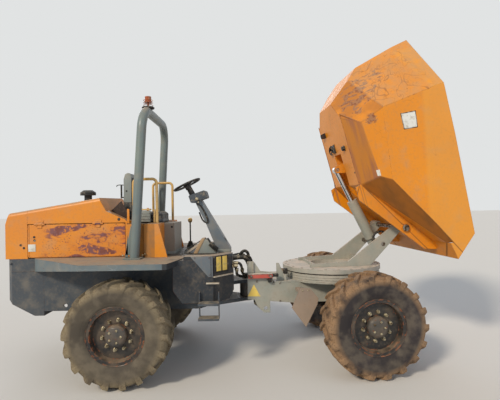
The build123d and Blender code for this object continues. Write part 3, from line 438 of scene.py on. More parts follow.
def enamel(name, place, colour, faded, rough=0.4, dusty=0.3, rusty=0.01, dust=DUST, extra=None, sheet_wave=1.2):
    """Enamel that was sprayed on steel and left outdoors."""
    skin = Skin(name, place, IOR=1.5, Coat_Weight=0.12, Coat_Roughness=0.25)
    skin.base_coat(colour, faded, rough)
    skin.coat(skin.patches(160, dusty, soft=0.16), dust, 0.85, 0.3)
    skin.coat(skin.patches(28, 0.22, soft=0.1, detail=8.0), MUD, 0.9, 0.14)
    if extra is not None:
        extra(skin)
    settled = skin.patches(90, 0.75, soft=0.2, within=skin.facing_up())
    skin.coat(settled, dust, 0.92, 0.75)
    chips = skin.worn_edges(7, skin.patches(34, 0.45, soft=0.06))
    skin.coat(chips, RUST_DARK, 0.8, 0.7)
    specks = skin.patches(22, rusty, soft=0.012, detail=9.0)
    skin.coat(specks, RUST, 0.88)
    normal = skin.relief(260, sheet_wave, skin.rounded_normal(5), detail=2.0)
    return skin.close(skin.relief(3.5, 0.12, normal))


print("enamel ready")

# %% [markdown]
# The skip is folded from 8 mm sheet and sprayed orange-yellow. Stones have scraped it: long hairlines on the
# sides and a bare and rusty corner low at the back, and the sun has bleached it in dull clouds. The sloping
# spout sheets and the floor's side sheets are darkened with painted shade, the spout sheets with darker
# streaks in it, and the upright rim bands are paler with a painted highlight. Each mark is kept to its own
# sheet by that sheet's plane.

# %% Skip enamel
ORANGE = "#EA9206"
ORANGE_FADED = "#E08C1C"
SCUFF = "#9A7258"
SPOUT_STREAKS = "#8A5A24"
SCORE = "#A8641E"

# Three points on the outer face of each sheet, and of the upright bands along the rim.
LOWER_CORNER = ((300, 300, 60), (650, 680, 80), (606, 955, 280))
SPOUT_SIDE = ((1350, 470, 0), (1310, 780, 110), (2120, 880, 636))
FLOOR_SIDE = ((500, 450, 0), (1300, 450, 0), (1300, 750, 100))
UPPER_CORNER = ((-65, 566, 760), (606, 955, 280), (548, 1000, 820))
MIDDLE_CORNER = ((-65, 566, 760), (606, 955, 280), (10, 360, 370))
SIDE_BAND = ((535, 1000, 0), (2200, 870, 0), (535, 1000, 900))
CORNER_BAND = ((-115, 530, 0), (535, 1000, 0), (535, 1000, 900))
# A mark is full this near to the sheet's plane and gone this far from it.
SHEET_NEAR, SHEET_FAR = 4.0, 7.0
# Middle, radius and bare share of each scraped spot.
SCRAPES = (((350, -560, 200), 230, 0.42), ((690, -840, 175), 60, 0.6), ((190, -640, 420), 110, 0.3))


def on_sheet(skin, points):
    """The outer face of one folded sheet, on both sides of the skip, by its plane."""
    first, second, third = (Vector(point) for point in points)
    across = (second - first).cross(third - first).normalized()
    folded = skin.node("VectorMath", {"operation": "ABSOLUTE"}, {0: skin.where})
    height = skin.node("VectorMath", {"operation": "DOT_PRODUCT", 1: across}, {0: folded.outputs[0]})
    off = skin.maths("SUBTRACT", height.outputs[1], first.dot(across))
    return skin.ramp(skin.maths("ABSOLUTE", off), SHEET_FAR, SHEET_NEAR)


def skip_marks(skin):
    # Painted highlight: the upright rim bands are painted paler, for the light on their faces.
    for rim_band in (SIDE_BAND, CORNER_BAND):
        skin.coat(on_sheet(skin, rim_band), "#E2A040", 0.5, 0.45)
    for sheet, share in ((UPPER_CORNER, 0.012), (MIDDLE_CORNER, 0.02)):
        scored = on_sheet(skin, sheet)
        rubbed_dull = skin.patches(200, 0.6, soft=0.16, detail=6.0, within=scored)
        skin.coat(rubbed_dull, "#CE8A3C", 0.7, 0.5)
        long_scores = skin.hairlines(240, share, (0.35, 1.5, 1.2), scored)
        skin.coat(long_scores, "#9A5A1E", 0.8, 0.75)
        fine = skin.hairlines(100, share, (0.3, 1.6, 1.2), skin.patches(260, 0.6, within=scored))
        skin.coat(fine, "#A8662A", 0.8, 0.6)
    corner = on_sheet(skin, LOWER_CORNER)
    dulled = skin.patches(150, 0.75, soft=0.14, detail=7.0, stretch=(1, 0.5, 0.5), within=corner)
    skin.coat(dulled, "#B06E2C", 0.75, 0.7)
    for middle, radius, share in SCRAPES:
        scraped = skin.spot(middle, radius, 0.6)
        bare = skin.patches(62, share, soft=0.06, detail=9.0, twist=0.5, stretch=(1.6, 0.6, 0.6), within=scraped)
        skin.coat(bare, SCUFF, 0.8, 0.85)
        skin.coat(skin.patches(26, 0.3, within=bare), RUST, 0.85, 0.7)
    rubbed = skin.spot((330, -790, 560), 330, 0.5)
    skin.coat(skin.hairlines(190, 0.006, (0.6, 1, 1.6), rubbed), SCORE, 0.8, 0.7)
    far_lines = skin.hairlines(520, 0.0022, (1, 1, 2.0), skin.patches(400, 0.4))
    skin.coat(far_lines, SCORE, 0.75, 0.5)
    # Painted shade: the downward-facing spout sheets are painted dark brown, with darker streaks over it.
    spout = on_sheet(skin, SPOUT_SIDE)
    skin.coat(spout, "#9A5C1C", 0.7, 0.8)
    streaks = skin.patches(210, 0.45, soft=0.12, detail=7.0, stretch=(0.4, 1.4, 1.4), within=spout)
    skin.coat(streaks, SPOUT_STREAKS, 0.8, 0.75)
    # Painted shade: the floor's side sheets, which slope away from the light, are painted tan-brown; the long brown
    # stains on them are the sheet's own.
    floor_side = on_sheet(skin, FLOOR_SIDE)
    skin.coat(floor_side, "#BC7A2E", 0.6, 0.7)
    stained = skin.patches(240, 0.5, soft=0.1, detail=7.0, stretch=(0.3, 1.6, 1.6), within=floor_side)
    skin.coat(stained, "#9A6450", 0.8, 0.7)


skip_enamel = enamel("skip_enamel", SKIP, ORANGE, ORANGE_FADED, 0.38, 0.05, 0.004, extra=skip_marks, sheet_wave=5.0)
dress(skip_enamel, "skip")
print("skip painted")

# %% [markdown]
# The bonnet wears the same colour. Its doors are the worst of the machine: the enamel has flaked off in
# ragged stripes that rise towards the seat, and the bare steel has turned purple-brown with orange rims.

# %% Bonnet enamel and flaked doors
BONNET = "#E28E14"
BONNET_FADED = "#D8862C"
FLAKED = "#74505A"


def door_marks(skin):
    rising = {"size": 210, "detail": 9.0, "twist": 0.4, "stretch": (0.55, 1, 1.7)}
    stripes = skin.patches(share=0.36, soft=0.02, **rising)
    broken = skin.patches(44, 0.74, soft=0.02, detail=9.0)
    flaked = skin.masked(skin.masked(stripes, broken), skin.band("X", -960, -40, 60))
    specks = skin.patches(17, 0.1, soft=0.02, detail=8.0, within=skin.band("X", -1000, -40, 90))
    rim = skin.patches(share=0.46, soft=0.04, within=skin.band("X", -980, -40, 60), **rising)
    skin.coat(rim, "#C8762A", 0.7, 0.7)
    skin.coat(flaked, FLAKED, 0.85, 0.92)
    skin.coat(specks, "#8A5648", 0.85, 0.8)
    skin.coat(skin.patches(60, 0.3, within=flaked), RUST, 0.9, 0.5)


bonnet_enamel = enamel("bonnet_enamel", REAR, BONNET, BONNET_FADED, 0.4, 0.15, 0.004, sheet_wave=2.0)
door_enamel = enamel("door_enamel", REAR, BONNET, BONNET_FADED, 0.45, 0.2, 0.02, extra=door_marks, sheet_wave=2.0)
dress(bonnet_enamel, "bonnet_cover", "bonnet_rear_cap")


def console_post_shadow_and_dirt(skin):
    # Painted shadow: the band where the hoop's post shaded the console's side is painted brown, with dirt patches
    # inside it.
    shaded = skin.band("X", 62, 286, 5)
    skin.coat(shaded, "#A06A2C", 0.7, 0.75)
    skin.coat(skin.patches(90, 0.4, soft=0.1, within=shaded), "#8A6A48", 0.8, 0.5)


console_enamel = enamel("console_enamel", REAR, BONNET, BONNET_FADED, 0.42, 0.2, 0.01, extra=console_post_shadow_and_dirt)
dress(console_enamel, "seat_console")
dress(door_enamel, "bonnet_door_left", "bonnet_door_right")
print("bonnet, doors and console painted")

# %% [markdown]
# The rear frame is dark slate, the hoop a lighter blue-grey, the front frame and its ring a mid grey that
# dust has turned almost beige on top. Castings get a coarser skin than plate, because sand leaves grain.

# %% Grey and slate enamels
def deck_wear_and_painted_shade(skin):
    # Painted shade: the deck's sloping corner from the lip's end back to the tank, X 474 to 760, is painted near black.
    skin.coat(skin.band("X", 474, 760, 6), "#262B31", 0.7)
    tan = skin.patches(240, 0.7, soft=0.2, within=skin.facing_up())
    skin.coat(tan, "#A88A70", 0.92, 0.85)
    skin.coat(skin.hairlines(300, 0.008), "#8A949A", 0.6, 0.6)


slate_enamel = enamel("slate_enamel", REAR, "#353E48", "#424C55", 0.45, 0.12, 0.004)
deck_enamel = enamel("deck_enamel", REAR, "#56656E", "#65747A", 0.48, 0.3, 0.01, extra=deck_wear_and_painted_shade)
cast_enamel = enamel("cast_enamel", REAR, "#363E48", "#424A52", 0.5, 0.16, 0.006, sheet_wave=3.0)
hoop_enamel = enamel("hoop_enamel", REAR, "#667478", "#75837F", 0.36, 0.12, 0.002, sheet_wave=0.4)
grey_enamel = enamel("grey_enamel", FRONT, "#92978F", "#A0A298", 0.5, 0.45, 0.006, dust="#BDB0A0")
ring_enamel = enamel("ring_enamel", FRONT, "#9A9C94", "#A8A69C", 0.55, 0.5, 0.006, dust="#D0C2B4")
panel_enamel = enamel("panel_enamel", REAR, "#7E8888", "#8C9490", 0.45, 0.2, 0.004)
column_enamel = enamel("column_enamel", REAR, "#5C6873", "#6A757E", 0.42, 0.15, 0.004)
box_enamel = enamel("seat_box_enamel", REAR, "#857E74", "#8E877C", 0.5, 0.3, 0.01)
pale_plate = enamel("pale_plate", REAR, "#B4AEA2", "#C0B6A4", 0.55, 0.3, 0.02)
well_rim = enamel("well_rim", REAR, "#2C343C", "#38424A", 0.45, 0.2, 0.006, extra=deck_wear_and_painted_shade)
axle_enamel = enamel("axle_enamel", REAR, "#33383C", "#403E3A", 0.6, 0.6, 0.03, dust=MUD, sheet_wave=3.0)
red_enamel = enamel("red_enamel", FRONT, "#B8453C", "#C4685A", 0.4, 0.3, 0.01)
rail_enamel = enamel("rail_enamel", REAR, "#D8A850", "#DCC086", 0.45, 0.3, 0.06)
flap_rubber = enamel("flap_rubber", FRONT, "#8E8074", "#9C8C7C", 0.85, 0.5, 0.02, dust="#A8907C")
# Painted shade: the tanks' slate is painted near-black navy for the shadow under the mudguards.
shade_painted_tank_slate = enamel("shade_painted_tank_slate", REAR, "#20262E", "#2A3138", 0.4, 0.06, 0.003)
# A paler slate for the sunlit patch on the tank's face: painted light.
sunlit_tank_slate = enamel("sunlit_tank_slate", REAR, "#5C6670", "#6A747A", 0.45, 0.3, 0.004)
rusty_tan = enamel("rusty_tan", REAR, "#B09068", "#B89A76", 0.7, 0.6, 0.05)
# A near-black brown: rust on the skip's lug, and painted shade on the knee panels.
dark_rust_and_shade = enamel("dark_rust_and_shade_panel", REAR, "#3A2A24", "#241E1E", 0.7, 0.1, 0.02, dust="#6A5444")
dress(slate_enamel, "rear_chassis", "side_tanks", "steps")
dress(deck_enamel, "mudguards", "platform")
dress(cast_enamel, "counterweight", "engine_block")
dress(hoop_enamel, "rollover_hoop", "hoop_feet")
dress(box_enamel, "seat_box")
dress(column_enamel, "steering_column")
dress(grey_enamel, "front_chassis", "front_stiffeners", "ring_deck", "swivel_arms", "ram_barrel")
dress(ring_enamel, "slew_base", "turntable")
dress(axle_enamel, "rear_axle", "front_axle", "centre_link")
dress(red_enamel, "lock_strut")
dress(rail_enamel, "handrails")
dress(flap_rubber, "mud_flaps")
print("frames, hoop and tanks painted")

# %% [markdown]
# Wheels are pressed steel under black enamel, chipped to rust round the flange. Pins are drawn steel, the
# ram's rod is hard chrome over steel, and both are true metals: their colour is that of the mirror itself.

# %% Wheel enamel and bare metals
def rim_marks(skin):
    worn = skin.patches(45, 0.3, soft=0.04, detail=8.0, within=skin.worn_edges(16))
    skin.coat(worn, "#9A5A34", 0.8)


rim_enamel = enamel("rim_enamel", REAR, "#1C1D1F", "#2A2826", 0.38, 0.25, 0.02, dust=MUD, extra=rim_marks)
hub_enamel = enamel("hub_enamel", REAR, "#34383C", "#4A4640", 0.6, 0.5, 0.05, dust=MUD, sheet_wave=3.0)


def bare_metal(name, colour, dirt, rough, dirty):
    """A bare metal with greasy dirt where nothing rubs it clean."""
    skin = Skin(name, REAR, Metallic=1.0)
    skin.base_coat(colour, colour, rough, 60)
    skin.coat(skin.patches(30, dirty, soft=0.08, detail=7.0), dirt, 0.75)
    return skin.close(skin.relief(1.5, 0.03, skin.rounded_normal(2)))


drawn_steel = bare_metal("drawn_steel", "#9A958C", "#5A4A3C", 0.35, 0.4)
hard_chrome = bare_metal("hard_chrome", "#D2D4D6", "#8A8478", 0.12, 0.1)
brass_knob = bare_metal("brass_knob", "#D2B47C", "#6A5A3C", 0.35, 0.3)
zinc_plate = bare_metal("zinc_plate", "#B4AA90", "#6A5A46", 0.42, 0.3)
for end in ("rear", "front"):
    for side in ("right", "left"):
        dress(rim_enamel, f"rim_{end}_{side}")
        dress(hub_enamel, f"hub_{end}_{side}")
dress(drawn_steel, "steering_pins", "swivel_pins")
dress(hard_chrome, "ram_rod")
print("rims, hubs and pins finished")

# %% [markdown]
# Polymers keep their colour right through, so wear makes them paler and duller instead of chipped. The
# wheel, dash box and pre-cleaner are moulded polypropylene, hoses and tyres are rubber with carbon black,
# the beacon's lens is moulded polycarbonate.

# %% Polymers
def moulded(name, colour, faded, rough, dusty, grain=1.2, depth=0.08, dust=DUST, settling=0.5, **sockets):
    """A moulded polymer: fine grain from the mould, dulled and dusty."""
    skin = Skin(name, REAR, IOR=1.49, **sockets)
    skin.base_coat(colour, faded, rough, 200)
    skin.coat(skin.patches(40, dusty, soft=0.12), dust, 0.9, 0.55)
    settled = skin.patches(60, 0.7, soft=0.2, within=skin.facing_up())
    skin.coat(settled, dust, 0.92, settling)
    return skin.close(skin.relief(grain, depth, skin.rounded_normal(3)))


black_polymer = moulded("black_polymer", "#131415", "#222324", 0.45, 0.08, settling=0.2)
slate_polymer = moulded("slate_polymer", "#353D45", "#47505A", 0.5, 0.15, settling=0.3)
hose_rubber = moulded("hose_rubber", "#0C0C0D", "#1A1919", 0.45, 0.1, settling=0.15)
amber_lens = moulded("amber_lens", "#B4561E", "#8E4A28", 0.25, 0.2, Transmission_Weight=0.25)
white_film = moulded("white_film", "#E4E6E2", "#D2D2CA", 0.35, 0.2)
yellow_film = moulded("yellow_film", "#F2D468", "#E8C868", 0.4, 0.1)
seat_vinyl = moulded("seat_vinyl", "#20262E", "#343C44", 0.45, 0.25, grain=2.0, depth=0.12)
dress(seat_vinyl, "seat")
dress(black_polymer, "pre_cleaner", "steering_wheel", "controls")
dress(slate_polymer, "dash_box")
dress(amber_lens, "beacon")
print("finishes on the frame's nodes")

# %% [markdown]
# The tyres are the size that dumpers of this class carry: a round-shouldered carcass with chevron lugs that
# start at the middle of the tread, sweep back to the shoulder and fold down over it. A turned profile
# makes the carcass, and one lug is drawn as a strip of cross sections that follow that sweep, then
# repeated round both halves with half a pitch between them. Mud dries pale between the lugs, so the
# finish is browner on the tread than on the side walls. It starts and is full at two distances from the
# axle, and a fine step runs round the side wall.

# %% Tyre rubber
TYRE_RADIUS = AXLE_HEIGHT
TREAD_RADIUS = TYRE_RADIUS - 34
MUD_FROM, MUD_FULL = 420, 478
STEP_FROM, STEP_TO = 330, 338


def tyre_rubber(name, place, side_colour, side_faded, mud, muddy):
    skin = Skin(name, place, IOR=1.52, Specular_IOR_Level=0.3)
    skin.base_coat(side_colour, side_faded, 0.75, 300)
    skin.coat(skin.patches(120, 0.4, soft=0.15), DUST, 0.92, 0.22)
    parts = skin.node("SeparateXYZ", {}, {0: skin.where})
    flat = skin.node("CombineXYZ", {}, {0: parts.outputs[0], 2: parts.outputs[2]})
    out = skin.node("VectorMath", {"operation": "LENGTH"}, {0: flat.outputs[0]}).outputs[1]
    tread = skin.ramp(out, MUD_FROM, MUD_FULL)
    skin.coat(skin.patches(110, muddy, soft=0.14, detail=7.0, within=tread), mud, 0.95, 0.85)
    skin.coat(skin.patches(16, 0.3, soft=0.08, detail=8.0, within=tread), "#5E4E3E", 0.95, 0.5)
    links = {"Height": skin.ramp(out, STEP_FROM, STEP_TO, True), "Normal": skin.relief(40, 0.8)}
    grooved = skin.node("Bump", {"Strength": 0.6, "Distance": 0.002}, links)
    return skin.close(skin.relief(7, 0.5, grooved.outputs[0], 6.0))


# %% Tyre shape
CARCASS = ((262, 150), (286, 158), (298, 172), (322, 188), (372, 201), (420, 201), (462, 192), (488, 176),
           (TREAD_RADIUS, 150), (TREAD_RADIUS + 4, 90), (TREAD_RADIUS + 6, 0))
LUGS = 18
LUG_SECTIONS = (
    # across the tyre, sweep along the tread, inner and outer radius, and width of the lug there
    (-14, 92, TREAD_RADIUS - 6, TYRE_RADIUS - 1, 40),
    (40, 62, TREAD_RADIUS - 6, TYRE_RADIUS - 1, 44),
    (100, 24, TREAD_RADIUS - 8, TYRE_RADIUS - 3, 48),
    (150, -14, TREAD_RADIUS - 14, TYRE_RADIUS - 7, 54),
    (184, -38, TREAD_RADIUS - 34, TYRE_RADIUS - 16, 60),
    (198, -46, TREAD_RADIUS - 62, TREAD_RADIUS - 12, 56),
    (202, -48, TREAD_RADIUS - 92, TREAD_RADIUS - 74, 44),
)


def lug_ring(section, turn, side):
    across, sweep, inner, outer, width = section
    ring = []
    for radius, half in ((inner, width * 0.62), (outer - 3, width / 2), (outer, width * 0.42),
                         (outer, -width * 0.42), (outer - 3, -width / 2), (inner, -width * 0.62)):
        angle = turn + (sweep + half) / TYRE_RADIUS
        ring.append(open_mesh.verts.new((radius * math.sin(angle), side * across, radius * math.cos(angle))))
    return ring


def add_lugs():
    pitch = 2 * math.pi / LUGS
    for index in range(LUGS):
        for side in (-1, 1):
            turn = pitch * (index + side / 4)
            rings = [lug_ring(section, turn, side) for section in LUG_SECTIONS]
            for first, second in zip(rings, rings[1:]):
                join_rings(first, second)
            open_mesh.faces.new(rings[0])
            open_mesh.faces.new(reversed(rings[-1]))


def wheel_place(end, side):
    joint = JOINTS[f"wheel_{end}_{side}_roll"]
    turn = STEERED if end == "front" else Matrix.Identity(4)
    return Matrix.Translation(Vector(joint["pos_m"])) @ turn @ MILLI


def make_tyre(end, side, finish):
    profile = [(radius, -across) for radius, across in CARCASS]
    profile += [(radius, across) for radius, across in CARCASS[-2::-1]]
    add_turned(profile, (0, 0, 0), (0, 1, 0), 72, closed=True)
    add_lugs()
    piece = make_piece(f"treaded_tyre_{end}_{side}", wheel_place(end, side), finish, f"wheel_{end}_{side}")
    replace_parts(piece, f"tyre_{end}_{side}")
    print(piece.name, "faces", len(piece.data.polygons))


TYRE_COLOURS = {"rear": ("#4A443C", "#5E574B", "#8C8068", 0.8), "front": ("#2E2A2B", "#3A3537", "#9C7E60", 0.85)}
for end, colours in TYRE_COLOURS.items():
    for side in ("right", "left"):
        make_tyre(end, side, tyre_rubber(f"tyre_rubber_{end}_{side}", wheel_place(end, side), *colours))

# %% [markdown]
# Inside each rim sits a planetary hub: a faceted cover with five bolts, on a flange with ten studs and nuts.
# The valve stands in the rim's well, and three narrow rings step inward from the rim's edge.

# %% Hub covers, nuts and lock rings
RIM_FACE = 165
DISC_FACE = 95
NUTS = 10
NUT_CIRCLE = 148
COVER_BOLTS = 5
COVER_CIRCLE = 62
COVER_HEIGHT = 34


def make_hub(end, side, sign):
    place = wheel_place(end, side)
    outward = (0, sign, 0)
    body = f"wheel_{end}_{side}"
    face = sign * (DISC_FACE + 45)
    cover = ((0, COVER_HEIGHT), (78, COVER_HEIGHT), (100, 22), (112, 6), (112, -30), (104, -30))
    add_turned(cover, (0, face, 0), outward, 10)
    make_piece(f"hub_cover_{end}_{side}", place, hub_enamel, body)
    for index in range(NUTS):
        angle = 2 * math.pi * (index + 0.3) / NUTS
        seat = (NUT_CIRCLE * math.cos(angle), sign * DISC_FACE, NUT_CIRCLE * math.sin(angle))
        nut = ((0, 0), (21, 0), (21, 5), (17, 7), (17, 24), (14, 27), (9, 27), (9, 40), (0, 40))
        add_turned(nut, seat, outward, 8)
    for index in range(COVER_BOLTS):
        angle = 2 * math.pi * index / COVER_BOLTS
        seat = (COVER_CIRCLE * math.cos(angle), face + sign * COVER_HEIGHT, COVER_CIRCLE * math.sin(angle))
        add_bolt(seat, outward, 12)
    make_piece(f"wheel_nuts_{end}_{side}", place, zinc_plate, body)
    for radius, depth in ((289, RIM_FACE + 2), (272, RIM_FACE - 4), (262, RIM_FACE - 12)):
        ring = ((radius - 5, depth - 6), (radius - 4, depth), (radius + 1, depth + 3), (radius + 6, depth),
                (radius + 7, depth - 6))
        add_turned(ring, (0, 0, 0), outward, 64, closed=True)
    add_tube(((232, sign * 92, 60), (238, sign * 120, 62), (240, sign * 138, 66)), 5)
    make_piece(f"lock_rings_{end}_{side}", place, rim_enamel, body)


for end in ("rear", "front"):
    for side, sign in (("right", -1), ("left", 1)):
        make_hub(end, side, sign)
print("wheels dressed")

# %% [markdown]
# Oil for the front unit crosses the pivot in rubber hoses. They leave the rear unit's head plate, stand up
# in loops so that steering neither pulls nor kinks them, and dive into a clamp on the link. A second set
# runs on into the front frame. Neither set rides on a body: each is made on one and then let go where it lies.

# %% Hoses over the pivot
HEAD_PLATE_X = 960
CLAMP_X = 1398
CLAMP_Z = 935
LOOPS = (
    # radius, then the hose's course from the head plate to the clamp
    (18, ((986, -110, 1165), (1100, -140, 1178), (1196, -170, 1190), (1236, -190, 1238), (1272, -190, 1252),
          (1306, -168, 1220), (1322, -130, 1120), (1352, -80, 1000), (CLAMP_X, 20, CLAMP_Z))),
    (28, ((986, -175, 1160), (1100, -195, 1172), (1214, -202, 1180), (1266, -200, 1174), (1306, -172, 1122),
          (1340, -115, 1012), (CLAMP_X, -20, CLAMP_Z))),
    (19, ((986, -60, 1125), (1150, -95, 1150), (1290, -118, 1176), (1336, -100, 1142), (1356, -62, 1050),
          (CLAMP_X, 64, CLAMP_Z))),
    (17, ((986, -230, 1060), (1060, -245, 1085), (1138, -250, 1090), (1170, -245, 1040), (1177, -232, 980),
          (1236, -175, 946), (1330, -100, 940), (CLAMP_X, -64, CLAMP_Z))),
    (16, ((986, -195, 1110), (1080, -215, 1120), (1200, -226, 1112), (1234, -220, 1050), (1243, -192, 985),
          (1300, -130, 952), (CLAMP_X, -104, CLAMP_Z))),
    (17, ((986, 130, 1120), (1120, 160, 1160), (1230, 165, 1170), (1292, 150, 1110), (1330, 122, 1000),
          (CLAMP_X, 104, CLAMP_Z))),
)
TO_FRAME = (-104, -64, -20, 20, 64, 104)


def in_rear(point):
    """A point of the straight machine ahead of the pivot, turned with the steering, in the rear unit's terms."""
    return REAR.inverted() @ FRONT @ Vector(point)


def loose_piece(name, place, finish, first, second, start, end):
    """A piece made on its first body, then let go of it and fixed where it lies."""
    piece = make_piece(name, place, finish, first)
    piece.parent = None
    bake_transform(piece)


def make_pivot_hoses():
    over_pivot = "rear_unit", "centre_link", (986, 0, 1000), (1390, 0, 1000)
    for radius, course in LOOPS:
        add_tube(course[:-1] + (tuple(in_rear(course[-1])),), radius, 12, 7)
    loose_piece("pivot_hoses", REAR, hose_rubber, *over_pivot)
    for centre, axis in (((1170, -245, 1052), (0.12, 0.1, -1)), ((1235, -218, 1040), (0.1, 0.3, -1)),
                         ((1132, -250, 1091), (1, 0, 0)), ((1192, -170, 1188), (1, -0.2, 0.3))):
        add_turned(((15, 0), (26, 0), (26, 14), (21, 18), (21, 34), (15, 36)), centre, axis, 6)
    loose_piece("hose_swivels", REAR, zinc_plate, *over_pivot)
    for radius, course in LOOPS:
        seat = (HEAD_PLATE_X, course[0][1], course[0][2])
        nut = radius * 1.5
        union = ((0, 0), (nut, 0), (nut, 12), (nut * 0.85, 15), (nut * 0.85, 30), (radius, 34))
        add_turned(union, seat, (1, 0, 0), 6)
    rear_piece("hose_unions", zinc_plate)


def make_hose_clamp():
    add_box((CLAMP_X - 6, -150, CLAMP_Z - 32), (CLAMP_X + 22, 150, CLAMP_Z + 32), 4)
    add_prism(((-56, 822), (56, 822), (110, CLAMP_Z - 28), (-110, CLAMP_Z - 28)), CLAMP_X + 2, CLAMP_X + 14, "X", 2)
    for across in (-132, -42, 42, 132):
        add_bolt((CLAMP_X - 6, across, CLAMP_Z), (-1, 0, 0), 10)
    front_piece("hose_clamp", cast_enamel, "centre_link")
    for across in TO_FRAME:
        course = ((CLAMP_X + 20, across, CLAMP_Z), (1470, across, 932), (1512, across, 900), (1530, across, 830),
                  (1556, across, 786), (1597, across, 778))
        add_tube(course, 15, 10, 5)
    start, end = in_rear((CLAMP_X + 24, 0, CLAMP_Z)), in_rear((1500, 0, CLAMP_Z))
    loose_piece("frame_hoses", FRONT, hose_rubber, "centre_link", "front_unit", start, end)


make_pivot_hoses()
make_hose_clamp()
print("hoses over the pivot", len(LOOPS))

# %% [markdown]
# The red strut keeps the two units straight while the machine is lifted or towed. Working, it lies on the
# front frame's right side between two pins, under a folded bar, with its free end against a rubber pad.

# %% Lock strut's seat, the blank warning plate and the frame's small parts
PLATE_FACE = -350


def make_strut_seat():
    fold = ((-400, 1001), (-356, 1001), (-356, 1012), (-392, 1012), (-400, 1004))
    add_prism(fold, 1266, 1547, "X", 2)
    add_prism(((1322, 1016), (1331, 1016), (1331, 1140), (1322, 1143)), -374, PLATE_FACE, "Y", 1)
    add_box((1262, -356, 1120), (1276, -350, 1143), 1)
    add_disc(17, 82, (1715, -300, 904), UP, 18)
    front_piece("strut_cover_bar", ring_enamel)
    add_box((1549, -400, 966), (1618, -354, 1003), 8)
    add_box((1496, -392, 902), (1544, -352, 950), 8)
    add_turned(((0, 0), (24, 0), (28, 6), (28, 56), (22, 64), (0, 64)), (1715, -300, 985), UP, 20)
    front_piece("rubber_pads", hose_rubber)
    for along in (1300, 1525):
        add_turned(((0, 0), (15, 0), (15, 6), (9, 8), (0, 8)), (along, -406, 978), RIGHTWARD, 16)
        clip = ((-4, -405, 992), (-20, -410, 1004), (-26, -408, 984), (-6, -405, 972))
        add_tube([(along + x, y, z) for x, y, z in clip], 3, 6)
    for along, level in ((1372, 912), (1562, 880), (1640, 884), (1640, 676), (2040, 884), (2700, 870)):
        add_bolt((along, PLATE_FACE, level), RIGHTWARD, 12)
    front_piece("strut_pins", drawn_steel)
    add_prism(((1334, 880), (1260, 745), (1409, 739)), -351.5, PLATE_FACE, "Y", 0.5)
    front_piece("blank_triangle", yellow_film)


def make_stop_plate():
    outline = ((1612, 905), (1608, 1112), (1638, 1112), (1684, 1008), (1698, 905))
    add_prism(outline, -302, -288, "Y", 2)
    add_prism(((1624, 905), (1624, 1040), (1632, 1040), (1632, 905)), -288, -240, "Y", 1)
    front_piece("slew_stop", grey_enamel)


RING_BOLTS = 24
RING_BOLT_CIRCLE = 565


def make_ring_details():
    for low, high in ((925, 935), (955, 961)):
        profile = ((578, low), (590, low + 2), (590, high - 2), (578, high))
        add_turned(profile, (SLEW_X, 0, 0), UP, 96, closed=True)
    front_piece("ring_bands", grey_enamel)
    seal = ((560, 986), (584, 986), (588, 989), (588, 993), (560, 995))
    add_turned(seal, (SLEW_X, 0, 0), UP, 96, closed=True)
    front_piece("ring_seal", hose_rubber)
    for index in range(RING_BOLTS):
        angle = 2 * math.pi * (index + 0.5) / RING_BOLTS
        seat = (SLEW_X + RING_BOLT_CIRCLE * math.cos(angle), RING_BOLT_CIRCLE * math.sin(angle), 1050)
        add_turned(((0, 0), (15, 0), (15, 4), (11, 6), (0, 6)), seat, UP, 10)
    front_piece("ring_bolts", grey_enamel, "swivel")


def make_underside():
    for along, level, size in ((1360, 640, 15), (1384, 620, 14), (1404, 604, 12)):
        union = ((0, -size), (size, -size), (size, size * 0.4), (size * 0.7, size), (0, size))
        add_turned(union, (along, -262, level), (0.8, -0.3, -0.5), 6)
    front_piece("drain_unions", zinc_plate)
    add_tube(((1352, -205, 664), (1356, -240, 640), (1376, -256, 620), (1400, -256, 606), (1432, -240, 614),
                  (1468, -180, 668)), 10, 8)
    front_piece("drain_hose", hose_rubber)
    for side in (-1, 1):
        for along in (1825, 1886):
            add_bolt((along, side * 710, 864), (0, side, 0), 9)
    front_piece("flap_bolts", zinc_plate)


make_strut_seat()
make_stop_plate()
make_ring_details()
make_underside()
print("front unit dressed")

# %% [markdown]
# Under the skip's floor sit a few small parts that the eye finds at once against the orange: a black latch
# with its bent hook, a rubber buffer that meets the chassis when the skip comes down, a rusty lug and some
# drain holes. They are placed along, across and above the floor, as they were welded before the skip was hung.

# %% Latch, buffer and lugs
def make_latch():
    add_prism(((796, 10), (900, 24), (912, 96), (880, 150), (808, 130)), -10, 0.5, "Z", 3)
    add_turned(((0, -0.5), (40, -0.5), (40, 14), (30, 22), (0, 22)), (850, 74, 0), DOWN, 20)
    add_turned(((0, -0.5), (22, -0.5), (22, 26), (14, 32), (0, 32)), (892, 34, 0), DOWN, 6)
    add_tube(((806, 120, -12), (828, 168, -24), (866, 196, -26), (902, 188, -22), (914, 150, -16)), 9, 10)
    add_tube(((850, 74, -26), (880, 100, -28), (896, 130, -26)), 7, 8)
    add_box((826, 176, -18), (862, 206, 0.5), 3)
    skip_piece("skip_latch", black_polymer)
    buffer = ((0, -0.5), (34, -0.5), (34, 6), (28, 10), (28, 28), (22, 33), (0, 33))
    add_turned(buffer, (890, -300, 0), DOWN, 24)
    skip_piece("skip_buffer", hose_rubber)
    for across in (250, 322):
        add_prism(((606, 0.5), (612, -44), (640, -49), (668, -44), (674, 0.5)), across, across + 10, "Y", 3)
    add_turned(((0, -4), (11, -4), (11, 86), (0, 86)), (640, 250, -26), (0, 1, 0), 14)
    skip_piece("skip_lug", dark_rust_and_shade)
    # Painted shade: flush black discs stand for the shaded inside of the drain holes.
    for along, across in ((1145, 187), (1204, -416), (1321, 437)):
        add_turned(((0, -0.5), (12, -0.5), (12, 1), (0, 1)), (along, across, 0), DOWN, 16)
    skip_piece("drain_holes", black_polymer)


make_latch()
print("skip's latch, buffer, lug and holes made")

